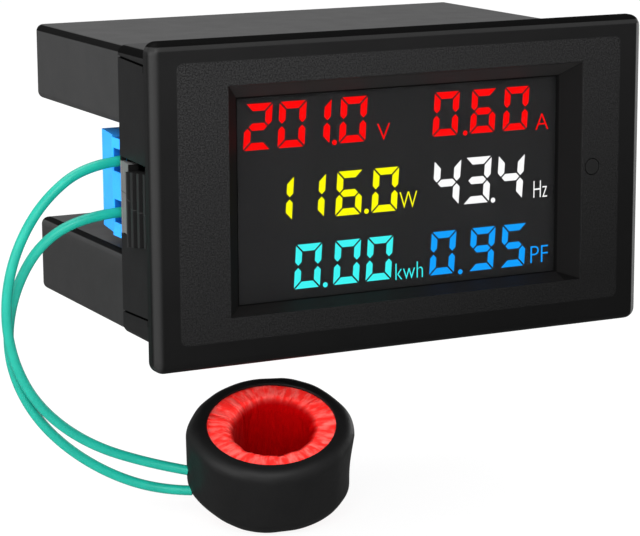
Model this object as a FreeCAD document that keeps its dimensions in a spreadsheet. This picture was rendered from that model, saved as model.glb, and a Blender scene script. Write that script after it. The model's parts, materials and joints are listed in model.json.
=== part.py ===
"""Panel power meter with six readings and a current transformer ring on two leads.

Frame: X to the right seen from the front, Y to the rear, Z up, millimetres. The origin is the
centre of the panel opening, in the plane where the flange's rear face meets the panel's front.
"""
import FreeCAD
import Part
import Sketcher
import math
import os

doc = FreeCAD.newDocument("power_meter")
sheet = doc.addObject("Spreadsheet::Sheet", "sizes")

SIZES = (
    # Front bezel: flange, skirt and window recess
    ("flange_width", 79.0, "flange, side to side"),
    ("flange_height", 46.0, "flange, top to bottom"),
    ("flange_thick", 2.4, "flange, front face to panel face"),
    ("flange_corner", 1.7, "radius of the flange's four corners"),
    ("flange_edge", 1.4, "rounding of the flange's front edge"),
    ("face_wall", 2.0, "bezel's front wall inside the skirt"),
    ("flange_side", 2.9, "flange beyond the skirt, left and right"),
    ("flange_top", 2.1, "flange beyond the skirt, above and below"),
    ("skirt_depth", 16.2, "skirt, panel face to rear edge"),
    ("skirt_wall", 1.6, "skirt wall"),
    ("skirt_corner", 1.4, "rounding of the skirt's long edges"),
    ("slit_width", 0.35, "relief slit in the skirt's side"),
    ("slit_depth", 0.5, "relief slit in the skirt's side"),
    ("slit_start", 6.8, "relief slit's front end"),
    ("slit_high", 1.9, "upper relief slit under the skirt's top"),
    ("slit_low", 3.9, "lower relief slit over the skirt's bottom"),
    ("slit_rise", 0.5, "upper relief slit's rear end over its front end"),
    ("slit_fall", 0.35, "lower relief slit's rear end under its front end"),
    ("slit_foot", 1.2, "short leg of the relief slit"),
    ("frame_left", 11.5, "flange's edge to the window recess, left"),
    ("frame_right", 10.2, "flange's edge to the window recess, right"),
    ("frame_top", 6.4, "flange's edge to the window recess, above"),
    ("frame_bottom", 7.1, "flange's edge to the window recess, below"),
    ("window_deep", 3.0, "front face to the pane"),
    ("bevel_left", 2.6, "left bevel of the recess"),
    ("bevel_right", 2.9, "right bevel of the recess"),
    ("bevel_top", 2.3, "top bevel of the recess"),
    ("bevel_bottom", 1.0, "bottom bevel of the recess"),
    ("post_radius", 1.6, "post under the display board"),
    ("post_inset", 2.6, "post's centre from the skirt's inner walls"),
    # Lens and display module
    ("lens_lap", 1.2, "lens beyond the pane on each side"),
    ("lens_thick", 1.0, "lens"),
    ("seat_gap", 0.1, "clearance round a seated piece"),
    ("seat_wall", 1.0, "rim round the lens"),
    ("module_deep", 6.0, "display shell, front to rear"),
    ("module_wall", 1.0, "rim of the display shell's rear tray"),
    ("film_gap", 0.15, "lens to the display shell, for its printed film"),
    ("resin_back", 1.2, "resin behind the cells"),
    ("resin_low", 0.4, "resin's face under the shell's face"),
    ("cell_gap", 0.04, "clearance of the resin in its cells"),
    ("digit_height", 6.9, "lit height of a digit"),
    ("digit_slant", 0.105, "sideways lean for each millimetre of height"),
    ("stroke_width", 1.08, "width of a segment"),
    ("stroke_gap", 0.18, "web between two segments"),
    ("row_margin", 0.88, "pane's edge to the first row of readings"),
    ("row_drop", 0.11, "readings under the pane's middle"),
    ("group_gap", 5.65, "least space between the left and right readings"),
    # Boards
    ("board_thick", 1.6, "both circuit boards"),
    ("board_gap", 1.0, "display board to the skirt's inner walls"),
    ("latch_room", 3.6, "skirt's side to the power board, for the bent latch"),
    ("board_slack", 0.6, "power board to the case, above and below"),
    # Reset button and its switch
    ("button_inset", 8.5, "flange's right edge to the button's centre"),
    ("button_up", 0.9, "button's centre"),
    ("button_radius", 1.15, "button"),
    ("button_gap", 0.12, "round the button in its hole"),
    ("button_collar", 2.05, "radius of the collar that keeps the button in"),
    ("button_travel", 0.3, "key travel"),
    ("plunger_radius", 1.7, "switch plunger"),
    ("plunger_gap", 0.08, "round the plunger"),
    ("switch_side", 6.0, "switch body"),
    ("switch_high", 3.5, "switch body over the board"),
    # Rear case: two prongs with a channel between them
    ("case_side", 0.4, "step in from the skirt to the case, left and right"),
    ("case_top", 0.2, "step in from the skirt to the case, above and below"),
    ("case_depth", 51.0, "panel face to the rear face"),
    ("case_wall", 1.6, "rear case wall"),
    ("case_edge", 1.1, "rounding of the case's outer edges"),
    ("channel_height", 18.6, "channel between the prongs"),
    ("channel_floor", 0.8, "skirt's rear edge to the channel's floor"),
    ("floor_wall", 1.4, "wall under the channel"),
    ("lap_depth", 3.9, "case lip inside the skirt"),
    ("lap_rebate", 0.7, "rebate in the skirt for the lip"),
    ("lap_gap", 0.1, "between lip and skirt"),
    # Panel latches
    ("latch_low", 7.35, "teeth's lower end under the middle, at the ramp"),
    ("latch_high", 4.4, "ramp's upper end over the middle"),
    ("ramp_low", 5.85, "ramp's lower end under the middle"),
    ("teeth_high", 4.35, "teeth's upper end over the middle, at the root"),
    ("teeth_fall", 0.85, "drop of the teeth's upper end from root to ramp"),
    ("teeth_rise", 1.5, "rise of the teeth's lower end from ramp to root"),
    ("latch_pivot", 3.0, "panel face to the latch's bending line"),
    ("latch_end", 15.4, "panel face to the latch's rear end"),
    ("latch_root", 0.5, "radius of the latch's root"),
    ("latch_finger", 1.0, "thickness of the finger"),
    ("latch_proud", 1.3, "crest outside the skirt"),
    ("tooth_first", 4.1, "panel face to the first crest"),
    ("tooth_pitch", 2.3, "between crests"),
    ("tooth_deep", 0.75, "depth between crests"),
    ("ramp_proud", 0.6, "ramp's front end outside the skirt"),
    ("ramp_step", 0.6, "last crest to the ramp's front end"),
    ("latch_gap", 0.25, "round the latch in its window"),
    ("ramp_room", 0.7, "window over the ramp"),
    # Terminal blocks
    ("pole_pitch", 7.5, "between the poles of a terminal block"),
    ("block_inset", 0.7, "case's side to the wire entry face"),
    ("block_width", 10.0, "entry face to the inner face"),
    ("block_high", 14.9, "base to the screw face"),
    ("block_gap", 0.2, "between block and case"),
    ("block_trim", 0.55, "end wall over the upper pole, less than the lower one"),
    ("block_seat", 2.4, "entry face to the step that rests on the channel's floor"),
    ("block_step_y", 6.4, "base to the top of the upright entry face"),
    ("block_step", 0.8, "step over the entry face"),
    ("block_lean", 1.9, "entry face to the screw face's edge"),
    ("entry_side", 3.4, "wire entry"),
    ("entry_y", 4.1, "base to the wire's centre"),
    ("screw_inset", 5.9, "entry face to the screw's centre"),
    ("screw_radius", 1.45, "M3 screw over its thread"),
    ("screw_head", 2.1, "screw head radius"),
    ("screw_head_high", 1.6, "screw head"),
    ("screw_slot", 0.7, "slot in the screw head"),
    ("screw_mouth", 1.9, "driver hole radius"),
    ("mouth_deep", 0.8, "lip that keeps the screw in"),
    ("thread_gap", 0.05, "between screw and cage"),
    ("cage_side", 4.8, "cage across the pole"),
    ("cage_length", 4.4, "cage along the wire"),
    ("cage_wall", 0.6, "cage side walls"),
    ("cage_floor", 0.8, "cage floor"),
    ("cage_nut", 2.0, "tapped top of the cage"),
    ("cage_window", 4.35, "space inside the cage"),
    ("cage_gap", 0.2, "between cage and chamber"),
    ("bar_thick", 1.0, "current bar"),
    ("bar_width", 3.2, "current bar"),
    ("pin_side", 0.9, "solder pin"),
    ("pin_out", 1.5, "solder pin through the board"),
    # Parts on the boards
    ("shelf_gap", 0.3, "tall parts to the prong's walls"),
    ("parts_inset", 7.6, "case's inner side to the outermost tall part"),
    ("film_long", 18.0, "film capacitor across"),
    ("film_tall", 13.5, "film capacitor over the board"),
    ("can_right", 2.0, "electrolytic can's centre from the middle"),
    ("can_gap", 0.65, "less radius than the prong has room for"),
    ("can_tall", 11.2, "electrolytic can"),
    ("can_foot", 0.3, "can over the board on its rubber seal"),
    ("coil_long", 14.0, "transformer across its flanges"),
    ("coil_step", 2.0, "flange of the coil beyond its winding"),
    ("coil_flange", 2.5, "transformer's flange"),
    ("coil_tall", 7.5, "winding between the flanges"),
    ("coil_gap", 0.6, "winding inside the flanges"),
    ("disc_gap", 0.2, "less radius than the prong has room for"),
    ("disc_thick", 3.4, "varistor"),
    ("disc_foot", 1.4, "varistor over the board"),
    ("leg_side", 0.8, "varistor's legs"),
    ("fuse_right", 8.0, "fusible resistor's centre from the middle"),
    ("fuse_radius", 2.0, "fusible resistor"),
    ("fuse_tall", 9.0, "fusible resistor"),
    ("fuse_foot", 1.0, "fusible resistor over the board"),
    ("burden_long", 6.4, "burden resistor"),
    ("burden_wide", 3.2, "burden resistor"),
    ("burden_thick", 0.7, "burden resistor"),
    ("control_side", 7.0, "microcontroller"),
    ("control_in", 20.0, "display board's left edge to the microcontroller's centre"),
    ("control_down", 16.3, "display board's top edge to the microcontroller's centre"),
    ("metering_long", 10.0, "metering chip"),
    ("metering_wide", 4.4, "metering chip"),
    ("metering_in", 21.0, "power board's right edge to the metering chip's centre"),
    ("metering_up", 10.5, "power board's bottom edge to the metering chip's centre"),
    ("chip_thick", 1.5, "chips"),
    ("chip_foot", 0.3, "chip leads on the board"),
    ("chip_lead", 0.4, "width of a chip's lead"),
    ("chip_reach", 0.9, "chip lead beyond its body"),
    ("header_pitch", 2.54, "between pins"),
    ("header_deep", 2.5, "pin strip"),
    ("header_down", 5.05, "display board's top edge to the pin strip's middle"),
    ("header_base", 2.0, "pin strip on the display board"),
    ("header_pin", 0.64, "pin"),
    ("header_pin_long", 1.8, "pin in its socket"),
    ("header_gap", 0.13, "round a pin in its socket"),
    # Leads
    ("lead_diameter", 1.5, "insulated lead"),
    ("core_diameter", 1.2, "bare conductor"),
    ("lead_strip", 2.1, "insulation inside the wire entry"),
    ("clamp_gap", 0.05, "between conductor and clamp"),
    # Current transformer ring, in its own frame with its axis along Z
    ("ring_radius", 12.6, "outside of the sleeve"),
    ("ring_height", 12.5, "over the sleeve"),
    ("ring_round", 3.0, "rounding of the sleeve's edges"),
    ("sleeve_wall", 0.5, "shrunk sleeve"),
    ("sleeve_mouth", 9.65, "radius where the sleeve ends on each face"),
    ("tape_wall", 0.4, "tape wrap"),
    ("tape_round", 2.6, "rounding of the wrap into the bore"),
    ("wrap_gap", 0.05, "between the layers"),
    ("bore_radius", 5.7, "free bore of the ring"),
    ("winding_wall", 0.7, "wound wire on the core"),
    ("core_edge", 0.4, "chamfer of the magnetic core"),
    ("ring_x", -12.5, "ring centre"),
    ("ring_y", 17.5, "ring centre"),
    ("ring_z", -42.7, "ring centre"),
    ("ring_lean", 23.6, "lean of the ring's axis, degrees"),
    ("ring_turn", 25.4, "direction of the lean from the front, degrees"),
)
for row, (alias, number, note) in enumerate(SIZES, start=1):
    sheet.set("A%d" % row, alias)
    sheet.set("B%d" % row, repr(number))
    sheet.set("C%d" % row, note)
    sheet.setAlias("B%d" % row, alias)
doc.recompute()


class Size:
    """A length that keeps its formula over the sheet's cells beside its present value."""

    def __init__(self, text, value):
        self.text = text
        self.value = value

    @staticmethod
    def of(other):
        return other if isinstance(other, Size) else Size(repr(float(other)), float(other))

    def __add__(self, other):
        other = Size.of(other)
        return Size("(%s + %s)" % (self.text, other.text), self.value + other.value)

    def __sub__(self, other):
        other = Size.of(other)
        return Size("(%s - %s)" % (self.text, other.text), self.value - other.value)

    def __mul__(self, other):
        other = Size.of(other)
        return Size("(%s * %s)" % (self.text, other.text), self.value * other.value)

    def __truediv__(self, other):
        other = Size.of(other)
        return Size("(%s / %s)" % (self.text, other.text), self.value / other.value)

    def __radd__(self, other):
        return Size.of(other) + self

    def __rsub__(self, other):
        return Size.of(other) - self

    def __rmul__(self, other):
        return Size.of(other) * self

    def __neg__(self):
        return Size("(0 - %s)" % self.text, -self.value)


class Cells:
    """Every cell of the sheet by its alias."""

    def __getattr__(self, alias):
        return Size("sizes." + alias, float(sheet.get(alias)))


s = Cells()
PARTS = []
ZERO = Size.of(0)


# Helpers for bodies, sketches and features

def new_body(label):
    """An empty body that becomes the sub-part of this name."""
    body = doc.addObject("PartDesign::Body", label)
    body.Label = label
    PARTS.append(body)
    return body


def sketch_on(body, role, off=ZERO, right=ZERO, up=ZERO):
    """A sketch on one of the body's own origin planes, moved off along the plane's normal."""
    sketch = body.newObject("Sketcher::SketchObject", "%s_sketch" % body.Name)
    plane = [item for item in body.Origin.OriginFeatures if item.Role == role][0]
    sketch.AttachmentSupport = (plane, [""])
    sketch.MapMode = "FlatFace"
    sketch.setExpression("AttachmentOffset.Base.z", off.text)
    sketch.setExpression("AttachmentOffset.Base.x", right.text)
    sketch.setExpression("AttachmentOffset.Base.y", up.text)
    return sketch


def front_sketch(body, depth, right=ZERO, up=ZERO):
    """A sketch parallel to the panel at a depth behind it, drawn in X and Z."""
    return sketch_on(body, "XZ_Plane", -depth, right, up)


def pin_point(sketch, curve, end, x, y):
    """Fix one point of a curve at two sizes from the sketch's origin."""
    for kind, size in (("DistanceX", x), ("DistanceY", y)):
        place = sketch.addConstraint(Sketcher.Constraint(kind, -1, 1, curve, end, size.value))
        sketch.setExpression("Constraints[%d]" % place, size.text)


def outline(sketch, corners):
    """Closed straight-sided outline through corners given as pairs of sizes."""
    corners = [(Size.of(x), Size.of(y)) for x, y in corners]
    first = sketch.GeometryCount
    count = len(corners)
    for k in range(count):
        here = FreeCAD.Vector(corners[k][0].value, corners[k][1].value, 0)
        there = corners[(k + 1) % count]
        there = FreeCAD.Vector(there[0].value, there[1].value, 0)
        sketch.addGeometry(Part.LineSegment(here, there), False)
    for k in range(count):
        join = Sketcher.Constraint("Coincident", first + k, 2, first + (k + 1) % count, 1)
        sketch.addConstraint(join)
    for k, (x, y) in enumerate(corners):
        pin_point(sketch, first + k, 1, x, y)
    return sketch


def rectangle(sketch, left, right, low, high):
    """Closed rectangle between four sizes."""
    return outline(sketch, ((left, low), (right, low), (right, high), (left, high)))


def centred(sketch, width, height):
    """Rectangle about the sketch's origin."""
    return rectangle(sketch, -(width / 2), width / 2, -(height / 2), height / 2)


def circle(sketch, x, y, radius):
    """Circle with its centre at two sizes."""
    x, y, radius = Size.of(x), Size.of(y), Size.of(radius)
    middle = FreeCAD.Vector(x.value, y.value, 0)
    up = FreeCAD.Vector(0, 0, 1)
    curve = sketch.addGeometry(Part.Circle(middle, up, radius.value), False)
    pin_point(sketch, curve, 3, x, y)
    place = sketch.addConstraint(Sketcher.Constraint("Radius", curve, radius.value))
    sketch.setExpression("Constraints[%d]" % place, radius.text)
    return sketch


def pad(body, sketch, length, backward=False):
    """Material along the sketch's normal, or against it."""
    feature = body.newObject("PartDesign::Pad", "%s_pad" % body.Name)
    feature.Profile = sketch
    feature.setExpression("Length", Size.of(length).text)
    feature.Reversed = backward
    sketch.Visibility = False
    return feature


def pad_rear(body, sketch, length):
    """Material from a panel-parallel sketch towards the rear."""
    return pad(body, sketch, length, True)


def pocket(body, sketch, length, backward=False, both=False):
    """Cut against the sketch's normal, along it, or to both sides of it."""
    feature = body.newObject("PartDesign::Pocket", "%s_pocket" % body.Name)
    feature.Profile = sketch
    feature.setExpression("Length", Size.of(length).text)
    feature.Reversed = backward
    if both:
        feature.SideType = "Symmetric"
    sketch.Visibility = False
    return feature


def pocket_rear(body, sketch, length):
    """Cut from a panel-parallel sketch towards the rear."""
    return pocket(body, sketch, length, False)


def pocket_front(body, sketch, length):
    """Cut from a panel-parallel sketch towards the front."""
    return pocket(body, sketch, length, True)


def revolve(body, sketch, angle=360.0):
    """Turn a profile about its sketch's vertical axis."""
    feature = body.newObject("PartDesign::Revolution", "%s_turn" % body.Name)
    feature.Profile = sketch
    feature.ReferenceAxis = (sketch, ["V_Axis"])
    feature.Angle = angle
    sketch.Visibility = False
    return feature


def straight_edges(feature, axis, wanted):
    """Names of the straight edges along one axis whose middle passes a test."""
    names = []
    for number, edge in enumerate(feature.Shape.Edges, start=1):
        if len(edge.Vertexes) != 2 or edge.Curve.TypeId != "Part::GeomLine":
            continue
        way = edge.Vertexes[1].Point - edge.Vertexes[0].Point
        if abs(abs(way.normalize().dot(axis)) - 1) > 1e-6:
            continue
        middle = (edge.Vertexes[0].Point + edge.Vertexes[1].Point) / 2
        if wanted(middle):
            names.append("Edge%d" % number)
    return names


def round_edges(body, feature, names, radius):
    """Fillet on named edges of the feature just made."""
    fillet = body.newObject("PartDesign::Fillet", "%s_round" % body.Name)
    fillet.Base = (feature, names)
    fillet.setExpression("Radius", radius.text)
    doc.recompute()
    return fillet


def near(value, size):
    return abs(value - size.value) < 1e-4


def block(name, x, y, z):
    """Part box between three pairs of sizes."""
    box = doc.addObject("Part::Box", name)
    for side, place, (low, high) in (("Length", "x", x), ("Width", "y", y), ("Height", "z", z)):
        low, high = Size.of(low), Size.of(high)
        box.setExpression(side, (high - low).text)
        box.setExpression("Placement.Base." + place, low.text)
    return box


def rod(name, x, y, z, radius, length):
    """Part cylinder from a point towards the rear."""
    bar = doc.addObject("Part::Cylinder", name)
    bar.Placement.Rotation = FreeCAD.Rotation(FreeCAD.Vector(1, 0, 0), -90)
    bar.setExpression("Radius", Size.of(radius).text)
    bar.setExpression("Height", Size.of(length).text)
    for place, size in (("x", x), ("y", y), ("z", z)):
        bar.setExpression("Placement.Base." + place, Size.of(size).text)
    return bar


def joined(label, pieces):
    """One sub-part fused from primitives that meet."""
    whole = doc.addObject("Part::MultiFuse", label)
    whole.Shapes = pieces
    whole.Label = label
    PARTS.append(whole)
    return whole


def cut_from(label, base, tools):
    """One sub-part: a base with the tools taken away."""
    tool = tools[0]
    if len(tools) > 1:
        tool = doc.addObject("Part::MultiFuse", label + "_tools")
        tool.Shapes = tools
    cut = doc.addObject("Part::Cut", label)
    cut.Base = base
    cut.Tool = tool
    cut.Label = label
    PARTS.append(cut)
    return cut


def from_shape(label, shape, placement=None):
    """One sub-part whose solid was worked out from the sheet's values."""
    item = doc.addObject("Part::Feature", label)
    item.Shape = shape
    if placement:
        item.Placement = placement
    item.Label = label
    PARTS.append(item)
    return item


X_AXIS = FreeCAD.Vector(1, 0, 0)
Y_AXIS = FreeCAD.Vector(0, 1, 0)
Z_AXIS = FreeCAD.Vector(0, 0, 1)

# Places that several sub-parts share
front_face = -s.flange_thick
inside_face = front_face + s.face_wall
pane_y = front_face + s.window_deep
lens_back = pane_y + s.lens_thick
module_back = lens_back + s.module_deep
display_back = module_back + s.board_thick
channel_y = s.skirt_depth + s.channel_floor
floor_front = channel_y - s.floor_wall
power_front = floor_front - s.board_thick
flange_x = s.flange_width / 2
flange_z = s.flange_height / 2
mouth_left = s.frame_left - flange_x
mouth_right = flange_x - s.frame_right
mouth_low = s.frame_bottom - flange_z
mouth_high = flange_z - s.frame_top
pane_left = mouth_left + s.bevel_left
pane_right = mouth_right - s.bevel_right
pane_low = mouth_low + s.bevel_bottom
pane_high = mouth_high - s.bevel_top
lens_left = pane_left - s.lens_lap
lens_right = pane_right + s.lens_lap
lens_low = pane_low - s.lens_lap
lens_high = pane_high + s.lens_lap
button_x = flange_x - s.button_inset
skirt_x = flange_x - s.flange_side
skirt_z = flange_z - s.flange_top
inner_x = skirt_x - s.skirt_wall
inner_z = skirt_z - s.skirt_wall
case_x = skirt_x - s.case_side
case_z = skirt_z - s.case_top
case_inner_x = case_x - s.case_wall
case_inner_z = case_z - s.case_wall
block_face = case_x - s.block_inset
display_x = inner_x - s.board_gap
display_z = inner_z - s.board_gap
power_x = skirt_x - s.latch_room
power_z = case_inner_z - s.board_slack
window_low = -(s.latch_low + s.latch_gap)
window_high = s.latch_high + s.ramp_room
ramp_front = s.tooth_first + s.tooth_pitch * 3 + s.ramp_step
latch_front = s.latch_pivot - s.latch_root - s.seat_gap


# Front bezel: flange, bevelled window, skirt, slits and latch windows

def make_front_bezel():
    body = new_body("front_bezel")
    plate = front_sketch(body, front_face)
    centred(plate, s.flange_width, s.flange_height)
    flange = pad_rear(body, plate, s.flange_thick)
    doc.recompute()
    corner = straight_edges(flange, Y_AXIS, lambda at: True)
    rounded = round_edges(body, flange, corner, s.flange_corner)
    rim = []
    for number, edge in enumerate(rounded.Shape.Edges, start=1):
        if near(edge.BoundBox.YMax, front_face):
            rim.append("Edge%d" % number)
    round_edges(body, rounded, rim, s.flange_edge)

    skirt = front_sketch(body, ZERO)
    centred(skirt, skirt_x * 2, skirt_z * 2)
    shell = pad_rear(body, skirt, s.skirt_depth)
    doc.recompute()
    long_edges = straight_edges(shell, Y_AXIS, lambda at: at.y > 0.1)
    round_edges(body, shell, long_edges, s.skirt_corner)
    hollow = front_sketch(body, s.skirt_depth)
    centred(hollow, inner_x * 2, inner_z * 2)
    pocket_front(body, hollow, s.skirt_depth - inside_face)
    rebate = front_sketch(body, s.skirt_depth)
    centred(rebate, (inner_x + s.lap_rebate) * 2, (inner_z + s.lap_rebate) * 2)
    pocket_front(body, rebate, s.lap_depth + s.lap_gap)

    # Lens seat behind the recess
    seat = s.seat_gap + s.seat_wall
    rim = front_sketch(body, inside_face)
    rectangle(rim, lens_left - seat, lens_right + seat, lens_low - seat, lens_high + seat)
    pad_rear(body, rim, lens_back - inside_face)
    tray = front_sketch(body, lens_back)
    rectangle(tray, lens_left - s.seat_gap, lens_right + s.seat_gap,
              lens_low - s.seat_gap, lens_high + s.seat_gap)
    pocket_front(body, tray, s.lens_thick)

    # Posts under the display board
    posts = front_sketch(body, inside_face)
    for side in (-1, 1):
        for level in (-1, 1):
            circle(posts, side * (inner_x - s.post_inset), level * (inner_z - s.post_inset),
                   s.post_radius)
    pad_rear(body, posts, module_back - inside_face)

    # Recess with four bevels
    recess = body.newObject("PartDesign::SubtractiveLoft", "recess")
    mouth = rectangle(front_sketch(body, front_face), mouth_left, mouth_right, mouth_low, mouth_high)
    pane = rectangle(front_sketch(body, pane_y), pane_left, pane_right, pane_low, pane_high)
    recess.Profile = mouth
    recess.Sections = [pane]
    recess.Ruled = True

    hole = front_sketch(body, front_face)
    circle(hole, button_x, s.button_up, s.button_radius + s.button_gap)
    pocket_rear(body, hole, s.face_wall + 1)

    # Latch windows go through both side walls
    windows = sketch_on(body, "YZ_Plane")
    end = s.skirt_depth + 1
    step = ramp_front + s.latch_gap
    ramp_low = -(s.ramp_low + s.latch_gap)
    outline(windows, ((latch_front, s.teeth_high + s.latch_gap), (end, window_high),
                      (end, ramp_low), (step, ramp_low), (step, window_low),
                      (latch_front, window_low + s.teeth_rise)))
    pocket(body, windows, skirt_x * 2 + 2, both=True)

    for side in (-1, 1):
        slits = sketch_on(body, "YZ_Plane", side * skirt_x)
        for level, rise in ((skirt_z - s.slit_high, s.slit_rise),
                            (s.slit_low - skirt_z, -s.slit_fall)):
            outline(slits, ((s.slit_start, level), (end, level + rise),
                            (end, level + rise - s.slit_width),
                            (s.slit_start + s.slit_width, level - s.slit_width),
                            (s.slit_start + s.slit_width, level - s.slit_foot),
                            (s.slit_start, level - s.slit_foot)))
        pocket(body, slits, s.slit_depth, backward=side < 0)
    doc.recompute()


# Smoked lens

def make_window_lens():
    block("window_lens", (lens_left, lens_right), (pane_y, lens_back), (lens_low, lens_high))
    PARTS.append(doc.getObject("window_lens"))


# Display: shell with one cell for each segment, and the resin that fills them

# For each row from the top: the gap before each left digit, from the pane's left edge on, and the
# gap after each right digit, from the pane's right edge back.
ROWS = (
    (1, (1.83, 1.31, 0.31, 1.71), (4.27, 1.73, 2.2)),
    (0, (5.11, 1.22, 1.86, 2.16), (4.79, 1.91, 1.09)),
    (-1, (3.96, 1.63, 2.44, 1.37), (4.42, 1.44, 2.71)),
)
WIDEST = sum(ROWS[1][1]) + sum(ROWS[1][2])
digit_width = (pane_right - pane_left - s.group_gap - WIDEST) / 7
row_middle = (pane_high + pane_low) / 2 - s.row_drop
row_pitch = (pane_high - pane_low - s.digit_height) / 2 - s.row_margin


def digit_centres(left_gaps, right_gaps):
    """Middles of a row's digits in X."""
    wide = digit_width.value
    centres = []
    at = pane_left.value
    for gap in left_gaps:
        centres.append(at + gap + wide / 2)
        at += gap + wide
    at = pane_right.value
    for gap in right_gaps:
        centres.append(at - gap - wide / 2)
        at -= gap + wide
    return centres


def segment_outlines(shrink):
    """Outlines of a digit's seven segments about its middle, drawn in by shrink, before the lean.

    The four corners are mitred at 45 degrees. The uprights and the middle bar meet in points,
    so that one even web runs between all neighbours.
    """
    half_w = digit_width.value / 2 - shrink
    half_h = s.digit_height.value / 2 - shrink
    t = s.stroke_width.value - shrink * 2
    k = s.stroke_gap.value / math.sqrt(2) + shrink * (math.sqrt(2) - 1)
    point = s.stroke_gap.value / math.sqrt(2) + shrink * math.sqrt(2)
    bar = ((k - half_w, half_h), (half_w - k, half_h), (half_w - t - k, half_h - t),
           (t + k - half_w, half_h - t))
    upright = ((half_w, half_h - k), (half_w, t / 2 + point), (half_w - t / 2, point),
               (half_w - t, t / 2 + point), (half_w - t, half_h - t - k))
    tip = half_w - t / 2 - point
    waist = half_w - t - point
    middle = ((-tip, 0), (-waist, t / 2), (waist, t / 2), (tip, 0), (waist, -t / 2), (-waist, -t / 2))
    mirror_x = lambda corners: [(-x, z) for x, z in corners]
    mirror_z = lambda corners: [(x, -z) for x, z in corners]
    return [list(bar), mirror_z(bar), list(upright), mirror_x(upright), mirror_z(upright),
            mirror_z(mirror_x(upright)), list(middle)]


def cell_prisms(gap, y_front, y_back):
    """Prisms of every segment of every digit."""
    prisms = []
    for row, left_gaps, right_gaps in ROWS:
        middle = row_middle.value + row * row_pitch.value
        for centre in digit_centres(left_gaps, right_gaps):
            for corners in segment_outlines(gap):
                points = []
                for x, z in corners + corners[:1]:
                    lean = z * s.digit_slant.value
                    points.append(FreeCAD.Vector(centre + x + lean, y_front, middle + z))
                face = Part.Face(Part.makePolygon(points))
                prisms.append(face.extrude(FreeCAD.Vector(0, y_back - y_front, 0)))
    return prisms


def box_shape(x, y, z):
    """Box between three pairs of sizes, as a plain shape."""
    low = FreeCAD.Vector(Size.of(x[0]).value, Size.of(y[0]).value, Size.of(z[0]).value)
    size = FreeCAD.Vector(Size.of(x[1]).value, Size.of(y[1]).value, Size.of(z[1]).value) - low
    return Part.makeBox(size.x, size.y, size.z, low)


def make_display():
    gap = s.seat_gap
    left, right = lens_left + gap, lens_right - gap
    low, high = lens_low + gap, lens_high - gap
    shell_front = lens_back + s.film_gap
    outer = box_shape((left, right), (shell_front, module_back), (low, high))
    wall = s.module_wall
    tray = box_shape((left + wall, right - wall), (module_back - s.resin_back, module_back),
                     (low + wall, high - wall))
    front = shell_front.value
    cells = cell_prisms(0.0, front - 0.5, (module_back - s.resin_back).value + 0.2)
    from_shape("display_shell", outer.cut([tray] + cells))

    slack = s.cell_gap.value
    plate = box_shape((left + wall + slack, right - wall - slack),
                      (module_back - s.resin_back + slack, module_back),
                      (low + wall + slack, high - wall - slack))
    plugs = cell_prisms(slack, front + s.resin_low.value, (module_back - s.resin_back / 2).value)
    from_shape("display_resin", plate.fuse(plugs).removeSplitter())


# Circuit boards

def pin_places():
    """Centres in X and Z of the terminal pins: two poles on each side."""
    x = block_face - s.block_width + s.pin_side / 2 + s.cage_gap * 4
    places = []
    for side in (-1, 1):
        for pole in (-1, 1):
            places.append((side, pole, side * x, pole * s.pole_pitch / 2))
    return places


def make_boards():
    display = block("display_board", (-display_x, display_x), (module_back, display_back),
                    (-display_z, display_z))
    PARTS.append(display)
    board = block("power_blank", (-power_x, power_x), (power_front, floor_front), (-power_z, power_z))
    holes = []
    reach = s.pin_side / 2 + s.seat_gap
    for number, (side, pole, x, z) in enumerate(pin_places()):
        holes.append(block("pin_hole_%d" % number, (x - reach, x + reach),
                           (power_front - 1, floor_front + 1), (z - reach, z + reach)))
    cut_from("power_board", board, holes)


# Reset button with its collar, the switch body and its plunger

def make_reset_button():
    body = new_body("reset_button")
    face = front_sketch(body, front_face)
    circle(face, button_x, s.button_up, s.button_radius)
    switch_front = module_back - s.switch_high
    stem = switch_front - 1.0 - s.thread_gap
    cap = pad_rear(body, face, stem - front_face)
    collar = front_sketch(body, inside_face + s.seat_gap)
    circle(collar, button_x, s.button_up, s.button_collar)
    pad_rear(body, collar, 0.8)
    doc.recompute()
    return cap


def make_switch():
    half = s.switch_side / 2
    switch_front = module_back - s.switch_high
    body = block("switch_block", (button_x - half, button_x + half),
                 (switch_front, module_back), (s.button_up - half, s.button_up + half))
    well = rod("switch_well", button_x, switch_front - 1, s.button_up,
               s.plunger_radius + s.plunger_gap, 3.0)
    cut_from("switch_body", body, [well])
    plunger = rod("switch_plunger", button_x, switch_front - 1.0, s.button_up,
                  s.plunger_radius, 2.4)
    PARTS.append(plunger)


# Rear case: two hollow prongs, the channel between them, and the lip inside the skirt

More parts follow.
